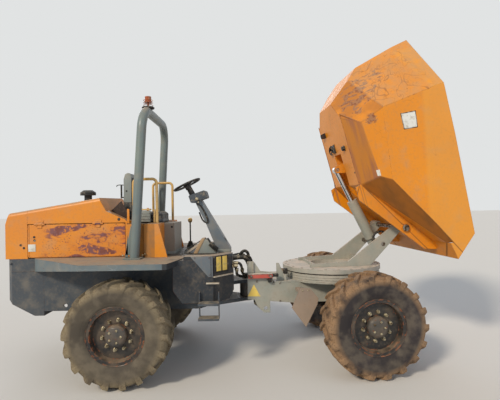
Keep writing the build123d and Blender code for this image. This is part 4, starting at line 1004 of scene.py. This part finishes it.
# %% [markdown]
# Two films are stuck on the skip's side: a small white one that is a painted highlight where the sun glinted
# on a fold, and a plate that is left blank. Each lies in the plane of its sheet: its corners are moved onto
# that plane and out by the film's thickness.

# %% Films on the sheets
SIDE_SHEET = ((606, -955, 280), (548, -1000, 820), (1450, -930, 660))


def sheet_plane(points):
    first, second, third = (Vector(point) for point in points)
    outward = (second - first).cross(third - first).normalized()
    return first, outward if outward.y < 0 else -outward


def on_plane(point, plane, lift):
    """The point moved square onto a sheet's plane and out of it by lift."""
    first, outward = plane
    spot_on = Vector(point)
    return spot_on + outward * (lift - (spot_on - first).dot(outward))


def add_film(corners, plane, low, high):
    rings = [[open_mesh.verts.new(on_plane(corner, plane, lift)) for corner in corners] for lift in (low, high)]
    open_mesh.faces.new(rings[0])
    open_mesh.faces.new(reversed(rings[1]))
    join_rings(*rings)


def shrunk(corners, share):
    middle = sum((Vector(corner) for corner in corners), Vector()) / len(corners)
    return [middle + (Vector(corner) - middle) * share for corner in corners]


PLATE_CORNERS = ((723, -960, 446), (736, -972, 612), (912, -959, 594), (896, -949, 445))


def make_films():
    side = sheet_plane(SIDE_SHEET)
    add_film(PLATE_CORNERS, side, -0.5, 1.2)
    skip_piece("plate_border", drawn_steel)
    add_film(shrunk(PLATE_CORNERS, 0.9), side, 1.0, 2.2)
    skip_piece("blank_side_plate", white_film)
    # Painted highlight: a small white film where the sun glinted on the fold.
    lower = sheet_plane(((650, -740, 100), (1310, -775, 100), (606, -955, 280)))
    add_film(((1232, -774, 108), (1234, -806, 134), (1302, -808, 132), (1300, -778, 106)), lower, -0.5, 2)
    skip_piece("side_glint_plate", white_film)


make_films()
print("blank plate and reflector made")

# %% [markdown]
# Sheets that meet at an angle are welded from outside. A welder leaves a bead along the joint, thick and
# thin in turn, and the sprayer has covered it with the same orange.

# %% Weld beads
BEAD_STEP = 14


def add_bead(start, end, radius=5):
    start, end = Vector(start), Vector(end)
    count = max(int((end - start).length / BEAD_STEP), 4)
    points = []
    for step in range(count + 1):
        wander = Vector((random.uniform(-1, 1), random.uniform(-1, 1), random.uniform(-1, 1))) * radius * 0.14
        points.append(start.lerp(end, step / count) + wander)
    add_tube(points, radius, 6, 1)


def make_welds():
    random.seed(7)
    for side in (-1, 1):
        add_bead((500, side * 450, 1), (1300, side * 450, 1))
        add_bead((650, side * 680, 80), (500, side * 452, 2))
        add_bead((1300, side * 452, 1), (1345, side * 470, 0))
    skip_piece("floor_welds", skip_enamel)


make_welds()
print("weld beads made")

# %% [markdown]
# The ram pushes the skip up and pulls it down again, so it needs two hoses. They arch over on the swivel
# beside the ram, with a brass union at the top. A washer and a nut cap each end of the hinge pin.

# %% Ram's hoses and the hinge's caps
def make_ram_lines():
    for shift, radius in ((-48, 12), (-84, 11)):
        arch = ((3056, 0, 1376), (3032, -6, 1420), (2984, -8, 1436), (2920, 0, 1412), (2874, 8, 1360))
        add_tube([(x, shift + y, z) for x, y, z in arch], radius, 10, 6)
    front_piece("ram_hoses", hose_rubber, "swivel")
    add_turned(((0, 0), (20, 0), (20, 12), (14, 16), (14, 30), (0, 30)), (2952, -66, 1410), (0.5, 0, 1), 6)
    front_piece("ram_union", brass_knob, "swivel")
    for side in (-1, 1):
        washer = ((0, -2), (40, -2), (40, 6), (34, 9), (24, 9), (22, 18), (0, 18))
        add_turned(washer, (3107, side * 512, 1502), (0, side, 0), 28)
    front_piece("hinge_caps", drawn_steel, "swivel")


make_ram_lines()
print("skip dressed")

# %% [markdown]
# The fuel tank on the right and the oil tank on the left are folded boxes beside the frame's top plate. The
# right one has its front corner cut off at a slant, which makes room for the tyre in a tight turn and
# carries the control panel. Only a rim stands round the footwell; the floor in it is a plate lower.

# %% Tanks and rims
TANK_OUT = 835
TANK_IN = 450.3
CUT = ((945, TANK_OUT), (1134, 612))
FAR_END = 955
LEVER_X, LEVER_Y = 560, 260
WELL_FLOOR = 1232
DECK_TOP = 1240.6
RIM_TOP = 1276
SKIRT_TOP = 1271
TANK_OUTLINE = ((530, 1231.7), (530, 920), (620, 790), (1100, 790), (1140, 850), (1140, 1240), (642, 1240),
                (642, 1231.7))
NEAR_RIM = ((642, -836), (945.5, -836), (1134.5, -613), (1140, -606), (1140, -500), (1080, -500), (905, -700),
            (642, -700))
FAR_RIM = ((642, 850), (930, 850), (930, 710), (642, 710))


def cut_away(verts, place, normal):
    """Cuts off what lies beyond a plane and closes the cut."""
    chosen = set(verts)
    parts = list(chosen) + [edge for edge in open_mesh.edges if chosen.issuperset(edge.verts)]
    parts += [face for face in open_mesh.faces if chosen.issuperset(face.verts)]
    found = bmesh.ops.bisect_plane(open_mesh, geom=parts, plane_co=place, plane_no=normal, clear_outer=True)
    rim = [part for part in found["geom_cut"] if isinstance(part, bmesh.types.BMEdge)]
    bmesh.ops.contextual_create(open_mesh, geom=rim)


def add_tank(side):
    before = set(open_mesh.verts)
    add_prism(TANK_OUTLINE, side * TANK_IN, side * TANK_OUT, "Y")
    own = [vert for vert in open_mesh.verts if vert not in before]
    if side < 0:
        cut_away(own, (CUT[0][0], -CUT[0][1], 0), (CUT[0][1] - CUT[1][1], CUT[0][0] - CUT[1][0], 0))
    else:
        cut_away(own, (FAR_END, 0, 0), (1, 0, 0))
    soften([vert for vert in open_mesh.verts if vert not in before], 5)


def make_tanks():
    for side in (-1, 1):
        add_tank(side)
    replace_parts(rear_piece("side_tank_boxes", shade_painted_tank_slate), "side_tanks")
    for outline in (NEAR_RIM, FAR_RIM):
        add_prism(outline, DECK_TOP, RIM_TOP, "Z", 3)
    add_prism(((960, -200), (1100, -120), (1100, 120), (960, 200)), 1222, WELL_FLOOR, "Z", 2)
    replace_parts(rear_piece("footwell_rims", well_rim), "platform")
    # Painted shade: the footwell floor's ribbed mat is black for the shade that the seat and hoop cast on it.
    add_prism(((-20, -445), (930, -445), (930, 445), (-20, 445)), WELL_FLOOR, WELL_FLOOR + 5, "Z", 2)
    for along in range(480, 910, 30):
        add_box((along, -430, WELL_FLOOR + 4), (along + 12, 430, WELL_FLOOR + 8), 1.5)
    rear_piece("floor_mat_in_painted_shade", black_polymer)


make_tanks()
print("tanks, rims and floor mat made")

# %% [markdown]
# What stands in the footwell reaches down to its floor through short folded skirts: the seat box, the
# column's foot, the footrest and the gear lever's boot. The slanted face carries a dark panel with two
# blank yellow plates, and two narrow ledges keep a boot from slipping off the steps.

# %% Skirts, panel and ledges
def slant(along, out, level):
    """A point on the slanted tank corner: along it from the outer edge, outward from it, and up."""
    (x0, y0), (x1, y1) = CUT
    length = math.hypot(x1 - x0, y1 - y0)
    ahead_of, inward = (x1 - x0) / length, (y1 - y0) / length
    return (x0 + ahead_of * along - inward * out, -(y0 + inward * along) - ahead_of * out, level)


def add_slanted(along, out, level, bevel=1.5):
    """A block on the slanted corner, given by its ranges along, outward and up."""
    before = set(open_mesh.verts)
    add_box((along[0], out[0], level[0]), (along[1], out[1], level[1]), bevel)
    for vert in [vert for vert in open_mesh.verts if vert not in before]:
        vert.co = slant(*vert.co)


def make_skirts():
    add_box((-30, -250, WELL_FLOOR), (447, 250, SKIRT_TOP), 3)
    add_box((934, -104, WELL_FLOOR), (1098, 104, SKIRT_TOP), 3)
    add_prism(((690, WELL_FLOOR), (925, WELL_FLOOR), (925, SKIRT_TOP), (690, SKIRT_TOP)), -234, -106, "Y", 3)
    add_box((556, -214, WELL_FLOOR), (574, -118, 1272), 2)
    add_disc(46, 39, (LEVER_X, LEVER_Y, WELL_FLOOR), UP, 24)
    rear_piece("floor_skirts", panel_enamel)


def make_tank_corner():
    add_slanted((8, 232), (0, 7), (1092, 1273), 3)
    rear_piece("control_panel", black_polymer)
    for start in (48, 138):
        add_slanted((start, start + 68), (7, 9), (1112, 1262), 0.6)
    rear_piece("blank_yellow_plates", yellow_film)
    add_slanted((0, 290), (0, 26), (1054, 1066), 2)
    add_box((876, -876, 992), (1012, -834, 1006), 3)
    rear_piece("slanted_ledges", pale_plate)
    add_box((931, -845, 1058), (946, -834, 1272), 3)
    # Painted light: a paler slate triangle on the tank's face, where the sun lit it past the mudguard's shadow.
    add_prism(((712, 1275), (926, 1275), (926, 1060), (898, 1060)), -839, -834.5, "Y", 1.5)
    for along, level in ((760, 1260), (910, 1260), (912, 1085)):
        add_bolt((along, -839, level), RIGHTWARD, 7)
    rear_piece("tank_post_and_sunlit_patch", sunlit_tank_slate)
    for across, level in ((-600, 1140), (-560, 1165)):
        fitting = ((0, 0), (24, 0), (24, 12), (16, 14), (16, 60), (0, 60))
        add_turned(fitting, (1139, across, level), (1, 0, 0), 14)
    rear_piece("tank_fittings", zinc_plate)


make_skirts()
make_tank_corner()
print("skirts, panel and ledges made")

# %% [markdown]
# The seat is two foam cushions sewn into vinyl. A real cover is cut a little small and pulled over the foam,
# so it crowns between its seams. A cloth simulation under pressure gives that crown better than any
# profile: a plain block is remeshed, blown up, held back near its base and smoothed, and the welts and the
# sewn channels are laid on it afterwards.

# %% Cloth under pressure
SEAT_VOXEL = 0.006
PRESSURE = 4
STEPS = 20
MOST_SWELLING = 0.02
LEAST_SHARE = 0.03


def baked_mesh(piece):
    """The piece's mesh with its modifiers applied."""
    graph = bpy.context.evaluated_depsgraph_get()
    graph.update()
    return bpy.data.meshes.new_from_object(piece.evaluated_get(graph))


def take_mesh(piece, mesh):
    old = piece.data
    piece.modifiers.clear()
    mesh.materials.clear()
    mesh.materials.append(old.materials[0])
    piece.data = mesh
    bpy.data.meshes.remove(old)


def blow_up(piece, resting):
    """Swells a closed form by cloth under pressure; resting is small where something behind holds the form."""
    remesh = piece.modifiers.new("even_faces", "REMESH")
    remesh.mode, remesh.voxel_size = "VOXEL", SEAT_VOXEL
    take_mesh(piece, baked_mesh(piece))
    before = [vert.co.copy() for vert in piece.data.vertices]
    cloth = piece.modifiers.new("vinyl", "CLOTH")
    cloth.settings.use_pressure = True
    cloth.settings.uniform_pressure_force = PRESSURE
    cloth.settings.effector_weights.gravity = 0
    for step in range(1, STEPS + 1):
        bpy.context.scene.frame_set(step)
    swollen = baked_mesh(piece)
    bpy.context.scene.frame_set(1)
    for vert, start in zip(swollen.vertices, before):
        move = vert.co - start
        limit = MOST_SWELLING * min(max(resting(start), LEAST_SHARE), 1)
        vert.co = start + (move if move.length <= limit else move.normalized() * limit)
    take_mesh(piece, swollen)
    smooth = piece.modifiers.new("smooth", "SUBSURF")
    smooth.levels = smooth.render_levels = 1
    take_mesh(piece, baked_mesh(piece))
    piece.data.shade_smooth()


# %% Welts on a cushion
def on_surface(piece, points, lift):
    """The points pulled to the cushion's surface and lifted a little off it, in the rear unit's millimetres."""
    corners = [vert.co for vert in piece.data.vertices]
    shape = BVHTree.FromPolygons(corners, [face.vertices for face in piece.data.polygons])
    landed = []
    for point in points:
        place, normal = shape.find_nearest(REAR @ Vector(point))[:2]
        landed.append(REAR.inverted() @ (place + normal * lift / 1000))
    return landed


def rounded_loop(half_long, half_wide, corner, steps=8):
    """A closed rounded rectangle about its middle."""
    loop = []
    for quarter, (sx, sy) in enumerate(((1, 1), (-1, 1), (-1, -1), (1, -1))):
        for step in range(steps + 1):
            angle = math.pi / 2 * (quarter + step / steps)
            x = sx * (half_long - corner) + corner * math.cos(angle)
            loop.append((x, sy * (half_wide - corner) + corner * math.sin(angle)))
    return loop


def add_welt(piece, points, radius=3.5):
    landed = on_surface(piece, points, radius * 0.2)
    add_tube(landed + landed[:1], radius, 8, 1)


# %% Seat cushion and back pad
CUSHION_X = 142
BACK_X = -112
BACK_Z = 1965
# In metres: where the cushion rests, and how far above or ahead of its rest a pad swells freely.
CUSHION_BASE = 1.622
CUSHION_RISE = 0.05
BACK_RISE = 0.03


def make_cushion():
    plan = [(CUSHION_X + x, y) for x, y in rounded_loop(160, 222, 46)]
    add_prism(plan, 1618, 1716, "Z", 20)
    cushion = rear_piece("seat_cushion", seat_vinyl)
    blow_up(cushion, lambda point: (point.z - CUSHION_BASE) / CUSHION_RISE)
    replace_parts(cushion, "seat")
    add_welt(cushion, [(CUSHION_X + x, y, 1700) for x, y in rounded_loop(164, 226, 48)])
    for across in (-75, 75):
        channel = [(along, across, 1760) for along in range(10, 290, 20)]
        add_tube(on_surface(cushion, channel, 0.4), 2.2, 6, 1)
    rear_piece("cushion_welts", seat_vinyl)
    print("seat cushion faces", len(cushion.data.polygons))


def make_backrest():
    face = [(y, BACK_Z + z) for y, z in rounded_loop(196, 205, 60)]
    add_prism(face, BACK_X, BACK_X + 40, "X", 14)
    pad = rear_piece("seat_back_pad", seat_vinyl)
    shell = REAR @ Vector((BACK_X, 0, 0))
    blow_up(pad, lambda point: (point.x - shell.x) / BACK_RISE)
    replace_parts(pad, "seat")
    add_welt(pad, [(-60, y, BACK_Z + z) for y, z in rounded_loop(182, 190, 60)])
    rear_piece("back_welt", seat_vinyl)


make_cushion()
make_backrest()
print("back pad made")

# %% [markdown]
# Behind the back pad stands a thin moulded shell, carried by two arms with round joints. Under the cushion
# lies its pan. A ribbed slide and a narrow armrest stand on the seat's right side.

# %% Seat's shell, ironwork, slide and armrest
def make_seat_frame():
    shell = [(y, 2000 + z) for y, z in rounded_loop(218, 204, 90)]
    add_prism(shell, BACK_X - 36, BACK_X, "X", 8)
    side = ((-155, 1856), (-150, 2128), (-134, 2182), (-100, 2204), (-70, 2196), (-58, 2160), (-62, 1850))
    add_prism(side, -226, -218, "Y", 2)
    rear_piece("seat_back_shell", panel_enamel)
    for across in (-228, 218):
        add_prism(((-150, 1856), (-60, 1856), (-40, 1640), (-110, 1612), (-150, 1700)), across, across + 10, "Y", 3)
        add_turned(((0, 0), (28, 0), (28, 10), (20, 14), (0, 14)), (-95, across - 2, 1700), RIGHTWARD, 20)
    add_box((-30, -205, 1612), (300, 205, 1620), 2)
    add_disc(11, 2, (-118, -226, 1987), RIGHTWARD, 20)
    add_box((-188, -232, 1902), (-172, -204, 2062), 4)
    add_tube(((-236, -218, 2040), (-230, -218, 2056), (-200, -218, 2062), (-150, -218, 2060)), 5, 8)
    add_box((-180, -226, 1906), (-146, -208, 1920), 3)
    rear_piece("seat_ironwork", black_polymer)
    add_box((52, -262, 1618), (168, -236, 1752), 8)
    for level in (1650, 1682, 1714):
        add_box((56, -266, level), (164, -260, level + 9), 2)
    rear_piece("seat_slide", panel_enamel)
    add_box((44, -268, 1756), (176, -226, 1775), 7)
    add_box((204, -262, 1612), (226, -240, 1768), 4)
    rear_piece("seat_armrest", rail_enamel)


make_seat_frame()
print("seat shell and ironwork made")

# %% [markdown]
# The driver's controls get their small parts: two knobs on the dash box, the stub under the steering wheel,
# a hose and a cable down the column, pedals with ribbed rubber, a footrest, and the gear lever's worn knob
# and bellows.

# %% Column, pedals and lever
DASH_FACE = -149
FOOTREST_LOW = 1236


def make_column_parts():
    add_tube(((700, -112, 1822), (742, -118, 1800), (790, -118, 1720), (826, -118, 1630), (822, -116, 1596),
                  (790, -114, 1600), (757, -112, 1640), (726, -110, 1720)), 9, 10)
    add_tube(((1004, -60, 1420), (1040, -70, 1380), (1052, -72, 1330), (1070, -70, 1276)), 4, 8)
    rear_piece("column_hoses", hose_rubber)
    add_turned(((0, 0), (17, 0), (19, 6), (19, 20), (13, 24), (0, 24)), (706, DASH_FACE, 1880), RIGHTWARD, 18)
    add_disc(9, 10, (722, DASH_FACE, 1842), RIGHTWARD, 12)
    rear_piece("dash_knobs", zinc_plate)
    add_tube(((640, 0, 1930), (618, 0, 1968), (600, 0, 2000), (580, 0, 2036)), 34, 16)
    add_turned(((0, 0), (38, 0), (44, 14), (38, 30), (0, 34)), (560, 0, 2052), (-0.42, 0, 0.9), 24)
    rear_piece("wheel_stub", black_polymer)
    add_prism(((846, 1334), (874, 1370), (964, 1302), (944, 1252), (886, 1292)), -266, -240, "Y", 4)
    for along in range(0, 88, 22):
        top = 1362 - along * 0.76
        add_box((872 + along, -270, top - 34), (881 + along, -264, top - 8), 2)
    rear_piece("pedal_block", hose_rubber)
    add_prism(((553, 1240), (738, 1362), (752, 1342), (576, 1224)), -216, -112, "Y", 3)
    rear_piece("pedal_tread", pale_plate)
    add_prism(((664, FOOTREST_LOW), (762, 1412), (806, 1416), (712, FOOTREST_LOW)), -250, -108, "Y", 3)
    rear_piece("footrest_face", rusty_tan)
    add_prism(((708, FOOTREST_LOW), (800, 1404), (836, 1398), (930, FOOTREST_LOW)), -244, -102, "Y", 3)
    rear_piece("footrest_side", panel_enamel)
    knob = ((0, -30), (16, -30), (26, -18), (30, 2), (26, 20), (14, 30), (0, 32))
    add_turned(knob, (LEVER_X, LEVER_Y, 1612), UP, 20)
    rear_piece("lever_knob", brass_knob)
    for low, size in ((1270, 44), (1284, 38), (1298, 32), (1312, 27), (1326, 22)):
        add_turned(((0, 0), (size, 0), (size + 5, 7), (size, 14), (0, 14)), (LEVER_X, LEVER_Y, low), UP, 24)
    rear_piece("lever_bellows", hose_rubber)


make_column_parts()
print("column, pedals and lever made")

# %% [markdown]
# Thin plates finish the station: the knee flap between bonnet and console, the near-black inner panel behind
# it, which is painted shade, two bolts on each side of the console, and black discs in the flap, the seat box
# and the door that stand for holes, with painted shade inside them. Bolts and gussets hold the hoop's feet to
# the mudguards, and a blank plate sits on the deck's lip.

# %% Station plates and bolts
def make_station_plates():
    for side in (-1, 1):
        add_prism(((-200, 1716), (-70, 1660), (-44, 1628), (-200, 1624)), side * 443, side * 449, "Y", 1)
        add_box((-48, side * 452 - 3, 1616), (-22, side * 452 + 3, 1778), 1)
    rear_piece("knee_flaps", bonnet_enamel)
    # Painted shade: the knee panels are near black for the shaded sloped front of the bonnet.
    knee = ((-403, 1880), (-280, 1752), (-157, 1872), (-137, 1826), (-88, 1755), (-89, 1664), (-330, 1700))
    for side in (-1, 1):
        add_prism(knee, side * 300, side * 308, "Y", 2)
    add_prism(((-150, -300), (-110, -300), (-110, 300), (-150, 300)), 1640, 1760, "Z", 3)
    rear_piece("knee_panels", dark_rust_and_shade)
    # Painted shade: flush black discs stand for the shaded inside of holes.
    add_disc(17, 1.5, (-143, -449.5, 1663), RIGHTWARD, 20)
    add_disc(13, 1.5, (418, -251, 1556), RIGHTWARD, 20)
    for along, level in ((-1257, 1389), (-1103, 1477), (-1221, 1356)):
        add_disc(13, 1.5, (along, -452, level), RIGHTWARD, 16)
    rear_piece("dark_holes", black_polymer)
    for level in (1396, 1483):
        for side in (-1, 1):
            add_bolt((195, side * 471, level), (0, side, 0), 11)
    rear_piece("console_bolts", rusty_tan)


def make_hoop_details():
    for side in (-1, 1):
        for along in (-30, 180):
            for across in (590, 690):
                add_bolt((along, side * across, 1278), UP, 13)
    rear_piece("hoop_bolts", zinc_plate)
    for side in (-1, 1):
        brace = ((-22, 1279), (44, 1590), (54, 1590), (60, 1279))
        add_prism(brace, side * 640 - 6, side * 640 + 6, "Y", 3)
    rear_piece("hoop_gussets", hoop_enamel)
    for side in (-1, 1):
        add_prism(((-41, 1233), (37, 1233), (37, 1196), (-41, 1196)), side * 848, side * 852, "Y", 1)
    rear_piece("blank_lip_plates", white_film)


make_station_plates()
make_hoop_details()
print("station dressed")

# %% [markdown]
# Each bonnet door hangs on two hinges and carries a seam along two of its edges and a round latch. The beacon
# stands on a foot and has three ribs round its lens. The counterweight is one casting, with two bolts and
# a narrow ledge on each side.

# %% Bonnet, beacon and counterweight
DOOR_FACE = 450
HINGES_X = (-1040, -380)
SEAM_X = -1160
SEAM_LOW = 1250
BEACON_X, BEACON_Y = 185, -350


def make_bonnet_details():
    for name, side in (("right", -1), ("left", 1)):
        for along in HINGES_X:
            leaf = side * (DOOR_FACE + 2)
            add_box((along - 44, leaf - 3, 1598), (along + 44, leaf + 3, 1622), 2)
            for spot_x in (-28, 28):
                add_bolt((along + spot_x, side * (DOOR_FACE + 5), 1609), (0, side, 0), 7)
        edge = ((SEAM_X - 8, SEAM_LOW), (SEAM_X - 8, 1616), (SEAM_X, 1616), (SEAM_X, SEAM_LOW))
        add_prism(edge, side * DOOR_FACE, side * (DOOR_FACE + 3), "Y", 1)
        seam = side * (DOOR_FACE + 1)
        add_box((SEAM_X, seam - 2, SEAM_LOW), (-80, seam + 2, SEAM_LOW + 7), 1)
        rear_piece(f"door_hinge_leaves_{name}", door_enamel, f"bonnet_door_{name}")
        add_disc(14, 4, (-1100, side * DOOR_FACE, 1440), (0, side, 0), 16)
        rear_piece(f"door_latch_{name}", drawn_steel, f"bonnet_door_{name}")
    add_box((-1172, -454.5, 1314), (-1088, -449.6, 1396), 1)
    rear_piece("blank_white_plate", white_film, "bonnet_door_right")
    for along in HINGES_X:
        for side in (-1, 1):
            knuckle = ((0, -42), (8, -42), (8, 42), (0, 42))
            add_turned(knuckle, (along, side * (DOOR_FACE + 5), 1632), (1, 0, 0), 14)
            leaf = side * (DOOR_FACE + 1)
            add_box((along - 44, leaf - 3, 1636), (along + 44, leaf + 3, 1664), 2)
    rear_piece("bonnet_hinges", bonnet_enamel)


def make_beacon_details():
    add_turned(((0, 0), (66, 0), (72, 6), (72, 16), (60, 24), (0, 24)), (BEACON_X, BEACON_Y, 2930), UP, 32)
    add_tube(((BEACON_X, BEACON_Y, 2935), (188, -350, 2900), (178, -352, 2870)), 9, 8)
    rear_piece("beacon_foot", black_polymer)
    for level in (2968, 2996, 3024):
        add_turned(((54, 0), (57, 3), (54, 6)), (BEACON_X, BEACON_Y, level), UP, 32)
    rear_piece("beacon_ribs", amber_lens)


def make_counterweight_details():
    for side in (-1, 1):
        for along in (-1370, -1060):
            add_bolt((along, side * 450, 1180), (0, side, 0), 15)
        add_box((-1372, side * 450 - 4, 1086), (-1010, side * 450 + 4, 1094), 3)
    rear_piece("counterweight_bolts", cast_enamel)


make_bonnet_details()
make_beacon_details()
make_counterweight_details()
print("bonnet and counterweight dressed")

# %% [markdown]
# The studio: a plain pale floor, a broad soft key light high on the side that the sun lit in the yard, two
# weak fills, and an even sky. All three shine with parallel rays, so the floor is lit evenly out to the
# horizon. The camera stands where the photographer stood, worked out from the wheels, the hoop and
# the bonnet, and looks square at the machine's right side.

# %% Floor
FLOOR_HALF = 60


def make_floor():
    bm = bmesh.new()
    signs = ((-1, -1), (1, -1), (1, 1), (-1, 1))
    bm.faces.new([bm.verts.new((x * FLOOR_HALF, y * FLOOR_HALF, 0)) for x, y in signs])
    mesh = bpy.data.meshes.new("studio_floor")
    bm.to_mesh(mesh)
    bm.free()
    floor = bpy.data.objects.new("studio_floor", mesh)
    bpy.context.scene.collection.objects.link(floor)
    material, _, shader = new_finish("pale_floor", Roughness=0.9)
    shader.inputs["Base Color"].default_value = linear("#D9D8D5")
    mesh.materials.append(material)


make_floor()
print("floor laid")

# %% Sky and lamps
SKY_STRENGTH = 0.45
world = bpy.data.worlds.new("studio_sky")
bpy.context.scene.world = world
world.use_nodes = True
sky = world.node_tree
sky.nodes.clear()
path = add_node(sky, "ShaderNodeLightPath")
seen = add_node(sky, "ShaderNodeMath", {"operation": "MAXIMUM"},
                {0: path.outputs["Is Camera Ray"], 1: path.outputs["Is Glossy Ray"]})
shown = add_node(sky, "ShaderNodeMath", {"operation": "MAXIMUM"},
                 {0: seen.outputs[0], 1: path.outputs["Is Transmission Ray"]})
lighting = add_node(sky, "ShaderNodeBackground", {"Color": linear("#E8EEF6"), "Strength": SKY_STRENGTH})
backdrop = add_node(sky, "ShaderNodeBackground", {"Color": linear("#E1E3E3"), "Strength": 1.0})
either = add_node(sky, "ShaderNodeMixShader", {}, {0: shown.outputs[0], 1: lighting.outputs[0], 2: backdrop.outputs[0]})
add_node(sky, "ShaderNodeOutputWorld", {}, {0: either.outputs[0]})


def add_lamp(name, place, aim, spread, strength, tint):
    """A soft distant lamp: spread is its width in degrees as seen from the machine."""
    lamp = bpy.data.lights.new(name, "SUN")
    lamp.angle = math.radians(spread)
    lamp.energy = strength
    lamp.color = linear(tint)[:3]
    holder = bpy.data.objects.new(name, lamp)
    bpy.context.scene.collection.objects.link(holder)
    holder.location = place
    holder.rotation_euler = (Vector(aim) - Vector(place)).to_track_quat("-Z", "Y").to_euler()


add_lamp("key_lamp", (-5.5, -7.5, 7.5), (0.2, 0, 1.3), 9, 2.4, "#FFF1DC")
add_lamp("fill_lamp", (7.0, -6.0, 4.0), (0, 0, 1.2), 40, 0.35, "#E6EEFF")
add_lamp("back_lamp", (-3.0, 8.0, 6.0), (0, 0, 1.5), 30, 0.6, "#F2F5FF")
print("sky and three lamps on")

# %% Camera
# Focal length in pixels of a 500-pixel frame, place in metres from the rear axle's middle on the ground,
# and yaw, pitch and roll in radians.
FRAME_WIDTH = 500
FOCAL_PIXELS = 417.98
CAMERA_PLACE = Vector((1.3491, -5.1753, 1.8215))
YAW, PITCH, ROLL = 0.0012, 0.007, -0.0177


def make_camera():
    data = bpy.data.cameras.new("portrait_camera")
    data.sensor_width = 36
    data.lens = FOCAL_PIXELS / FRAME_WIDTH * data.sensor_width
    data.clip_end = 300
    camera = bpy.data.objects.new("portrait_camera", data)
    bpy.context.scene.collection.objects.link(camera)
    right = Vector((math.cos(YAW), math.sin(YAW), 0))
    level = Vector((-math.sin(YAW), math.cos(YAW), 0))
    forward = level * math.cos(PITCH) + Vector((0, 0, 1)) * math.sin(PITCH)
    up = Vector((0, 0, 1)) * math.cos(PITCH) - level * math.sin(PITCH)
    right_rolled = right * math.cos(ROLL) + up * math.sin(ROLL)
    up_rolled = up * math.cos(ROLL) - right * math.sin(ROLL)
    turn = Matrix((right_rolled, up_rolled, -forward)).transposed().to_4x4()
    camera.matrix_world = Matrix.Translation(CAMERA_PLACE + Vector((AXLE.x, AXLE.y, 0))) @ turn
    bpy.context.scene.camera = camera


make_camera()
print("camera at", tuple(CAMERA_PLACE))

# %% View transform
bpy.context.scene.view_settings.view_transform = "Standard"
